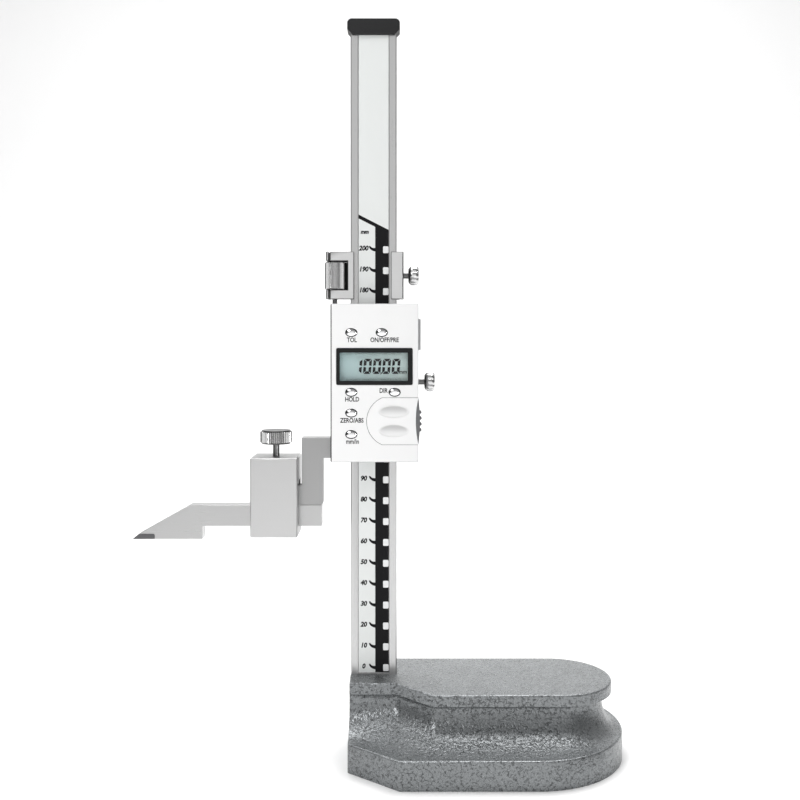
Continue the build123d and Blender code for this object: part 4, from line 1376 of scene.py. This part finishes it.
# %% [markdown]
# ## Straight knurls
#
# The clamp screw's knob and the fine nut are knurled for the fingers: one ridge, repeated
# round a turned core. A bump in the material would look knurled from the front, but the
# outline would stay a plain circle. So a three-sided ridge is the template of the ring
# tree. The core between the ridges is painted dark, as the shade in the grooves, and the
# ridges stay bright.


# %% The clamp screw's knob and the fine nut
def ridge(name, profile, depth, width):
    """A three-sided bar whose crest follows (radius, height) pairs at angle 0."""
    bm = bmesh.new()
    rows = []
    for radius, height in profile:
        root = radius - depth
        side_x = root * cos(width / 2)
        side_y = root * sin(width / 2)
        corners = [(side_x, -side_y, height), (radius, 0, height), (side_x, side_y, height)]
        rows.append([bm.verts.new(corner) for corner in corners])
    for lower, upper in zip(rows, rows[1:]):
        for i in range(3):
            j = (i + 1) % 3
            bm.faces.new((lower[i], lower[j], upper[j], upper[i]))
    bm.faces.new(rows[0][::-1])
    bm.faces.new(rows[-1])
    bmesh.ops.recalc_face_normals(bm, faces=bm.faces)
    return piece_from(bm, name)


def knurled(node, teeth, depth, edge, finish):
    """A knurled disc of the node's size, about its own vertical axis."""
    low, high = span(node)
    radius = (high.x - low.x) / 2
    height = high.z - low.z
    core_outline = [(radius - edge, 0.0), (radius - depth, edge),
                    (radius - depth, height - edge), (radius - edge, height)]
    core = turned(node + "_core", core_outline)
    # The core is painted dark: painted shade in the grooves.
    smooth_by_angle(paint(core, "painted_shade"))
    crest = [(radius - depth * 0.5, edge * 0.8), (radius, edge * 1.1),
             (radius, height - edge * 1.1), (radius - depth * 0.5, height - edge * 0.8)]
    tooth = ridge(node + "_ridge", crest, depth * 1.2, 1.9 * pi / teeth)
    ring = ring_of(tooth, node + "_teeth", teeth, finish)
    whole = joined(node + "_turned", [core, ring])
    centre = middle(node)
    return settle_on(moved(whole, (centre.x, centre.y, low.z)), node)


knob = knurled("clamp_knob", 44, 0.45 * MM, 0.7 * MM, "chrome")
nut = knurled("fine_adjust_nut", 56, 0.22 * MM, 0.4 * MM, "nut")
print("knob and nut faces:", len(knob.data.polygons), len(nut.data.polygons))

# %% [markdown]
# ## Lobed lock knobs
#
# The two lock screws have small barrels with eight soft lobes, and a bevelled collar
# towards the gauge, painted dark as the shade on that side. Ridges would be too sharp for
# lobes, so here the radius itself goes in and out as the angle runs round.

# %% The two lock knobs
LOBES = 8
LOBE_DEPTH = 0.13             # as a share of the radius
LOBE_POINTS = 160
COLLAR = 0.17                 # the collar's share of the knob's thickness
BARREL = [(0.62, 0.0), (0.66, 0.02), (0.86, 0.16), (0.955, 0.24), (0.99, 0.36), (1.0, 0.5),
          (0.99, 0.66), (0.95, 0.8), (0.9, 0.88), (0.78, 0.97), (0.7, 1.0)]


def on_x_axis(piece, node):
    """Lays a piece that was turned about Z along X, in the node's place."""
    centre = middle(node)
    return settle_on(moved(piece, (span(node)[0].x, centre.y, centre.z), TO_X), node)


def lock_knob(node):
    """A lobed barrel whose collar at its foot is painted dark, as painted shade."""
    low, high = span(node)
    radius = (high.z - low.z) / 2
    thick = high.x - low.x
    profile = [(r * radius, t * thick) for r, t in BARREL]
    barrel = turned(node + "_lobes", profile, LOBE_POINTS, LOBES, LOBE_DEPTH)
    paint(smooth_by_angle(barrel, 50), "chrome")
    # The collar's dark is painted shade.
    paint_shade_on(barrel, "painted_shade", lambda face: face.center.z < COLLAR * thick)
    return on_x_axis(barrel, node)


for node in ("head_lock_knob", "carriage_lock_knob"):
    lock_knob(node)
print("lock knobs:", LOBES, "lobes")

# %% [markdown]
# ## Threads
#
# A thread is a thin round ridge wound round a core. A Geometry Nodes spiral with a small
# circle swept along it draws it with its true pitch. Rings stacked on the core would look
# much the same, but a real thread climbs, and close up one sees it.

# %% Threads by a Geometry Nodes spiral
THREAD_PITCH = 0.5 * MM
THREAD_RIDGE = 0.2 * THREAD_PITCH
thread_tree = GeometryTree(
    "thread",
    {"Radius": "Float", "Pitch": "Float", "Length": "Float", "Ridge": "Float",
     "Material": "Material"},
)
helix = thread_tree.node(
    "GeometryNodeCurveSpiral",
    Resolution=18,
    Rotations=thread_tree.maths("DIVIDE", thread_tree.take("Length"), thread_tree.take("Pitch")),
    Start_Radius=thread_tree.take("Radius"),
    End_Radius=thread_tree.take("Radius"),
    Height=thread_tree.take("Length"),
)
crest = thread_tree.node(
    "GeometryNodeCurvePrimitiveCircle", Resolution=6, Radius=thread_tree.take("Ridge")
)
wound = thread_tree.node(
    "GeometryNodeCurveToMesh",
    Curve=helix.outputs["Curve"],
    Profile_Curve=crest.outputs["Curve"],
    Fill_Caps=True,
)
thread_tree.finish(wound.outputs["Mesh"])


def threaded(node, diameter, length):
    """A thread wound on a core, standing on Z."""
    radius = diameter / 2
    thread = thread_tree.grow(
        node + "_thread",
        Radius=radius - THREAD_RIDGE,
        Pitch=THREAD_PITCH,
        Length=length,
        Ridge=THREAD_RIDGE,
        Material=FINISH["screw"],
    )
    thread.data.shade_smooth()
    core_radius = radius - 1.2 * THREAD_RIDGE
    core = turned(node + "_core", [(core_radius, 0.0), (core_radius, length)], 36)
    smooth_by_angle(paint(core, "screw"))
    return joined(node + "_threaded", [core, thread])


for node in ("head_lock_stud", "carriage_lock_stud"):
    low, high = span(node)
    on_x_axis(threaded(node, high.z - low.z, high.x - low.x), node)
low, high = span("fine_adjust_rod")
centre = middle("fine_adjust_rod")
rod = threaded("fine_adjust_rod", high.x - low.x, high.z - low.z)
settle_on(moved(rod, (centre.x, centre.y, low.z)), "fine_adjust_rod")
print("threads wound on two studs and the fine rod")

# %% [markdown]
# ## The sweep
#
# The gauge stands on a white sweep: a floor that curves up into a wall, as a studio's
# paper roll does, so no horizon shows behind it. A flat plane would end in a grey line.


# %% Floor and wall in one sheet
def sweep():
    """A floor that turns up into a wall behind the gauge, drawn as one profile."""
    half, front, wall, radius, top = 3.0, -2.5, 1.6, 0.7, 3.2
    steps = 16
    profile = [(front, 0.0)]
    for i in range(steps + 1):
        angle = pi / 2 * i / steps
        profile.append((wall - radius + radius * sin(angle), radius - radius * cos(angle)))
    profile.append((wall, top))
    vertices = [(x, y, z) for y, z in profile for x in (-half, half)]
    faces = [(2 * i, 2 * i + 1, 2 * i + 3, 2 * i + 2) for i in range(len(profile) - 1)]
    mesh = bpy.data.meshes.new("sweep")
    mesh.from_pydata(vertices, [], faces)
    mesh.shade_smooth()
    mesh.materials.append(plain("sweep_paper", (0.9, 0.9, 0.9), 0.8, Specular_IOR_Level=0.2))
    return link(bpy.data.objects.new("sweep", mesh))


backdrop = sweep()
print("sweep faces:", len(backdrop.data.polygons))

# %% [markdown]
# ## Light
#
# Metal mirrors what stands round it. Wide soft panels light it from the front, the left,
# the right and above. A dark card stands upright on each side, so that knobs and edges
# get the dark bands which make steel look like steel. The cards are hidden from the
# camera: they show only in the metal that mirrors them and in the light they keep off.

# %% Soft panels and dark cards
CARD_FRONT, CARD_BACK, CARD_TOP = -0.5, -0.1, 0.7
AIM = (0.0, 0.0, 0.17)


def soft_panel(name, place, aim, width, height, watts):
    light = bpy.data.lights.new(name, "AREA")
    light.shape = "RECTANGLE"
    light.size = width
    light.size_y = height
    light.energy = watts
    lamp = link(bpy.data.objects.new(name, light))
    lamp.location = place
    lamp.rotation_euler = (Vector(aim) - Vector(place)).to_track_quat("-Z", "Y").to_euler()
    return lamp


def dark_card(name, x):
    """An upright black card beside the gauge."""
    corners = [(x, CARD_FRONT, 0.0), (x, CARD_BACK, 0.0), (x, CARD_BACK, CARD_TOP),
               (x, CARD_FRONT, CARD_TOP)]
    mesh = bpy.data.meshes.new(name)
    mesh.from_pydata(corners, [], [(0, 1, 2, 3)])
    mesh.materials.append(plain(name, (0.02, 0.02, 0.02), 0.9))
    card = link(bpy.data.objects.new(name, mesh))
    card.visible_camera = False
    return card


dark_card("dark card left", -0.42)
dark_card("dark card right", 0.5)
soft_panel("front panel", (0.0, -1.7, 0.5), AIM, 1.9, 1.3, 5)
soft_panel("key panel", (-0.7, -0.8, 1.3), AIM, 0.6, 0.6, 11)
soft_panel("strip light", (0.8, -0.75, 0.13), (0.08, -0.03, 0.02), 0.1, 0.24, 7)
soft_panel("back panel", (0.0, 0.45, 1.6), AIM, 1.6, 1.0, 36)
world = bpy.data.worlds.new("pale room")
world.use_nodes = True
world.node_tree.nodes["Background"].inputs["Color"].default_value = (1.0, 1.0, 1.0, 1.0)
world.node_tree.nodes["Background"].inputs["Strength"].default_value = 0.34
scene.world = world
scene.view_settings.view_transform = "Standard"
print("panels:", [light.name for light in bpy.data.lights])

# %% [markdown]
# ## Camera
#
# The camera stands level with the head and looks down by a fraction of a degree. A small
# shift of the lens frames the whole gauge. Tilting the camera further would do so too,
# but then the beam's sides would run together.

# %% Camera
FRAME_PIXELS = 800.0
FOCAL_PIXELS = 998.0      # focal length, in pixels of the frame
LENS_SHIFT = 60.0         # how far the lens shift lifts the view, in pixels of the frame
TILT = 0.0055             # the camera's tilt below the horizon, in radians
EYE = Vector((12.6, -474.5, 197.5)) * MM
SENSOR = 36.0

camera_data = bpy.data.cameras.new("portrait")
camera_data.sensor_width = SENSOR
camera_data.lens = SENSOR * FOCAL_PIXELS / FRAME_PIXELS
camera_data.shift_y = -LENS_SHIFT / FRAME_PIXELS
camera = link(bpy.data.objects.new("portrait", camera_data))
camera.location = EYE
camera.rotation_euler = (pi / 2 - TILT, 0.0, 0.0)
scene.camera = camera
print("focal length", camera_data.lens, "mm")
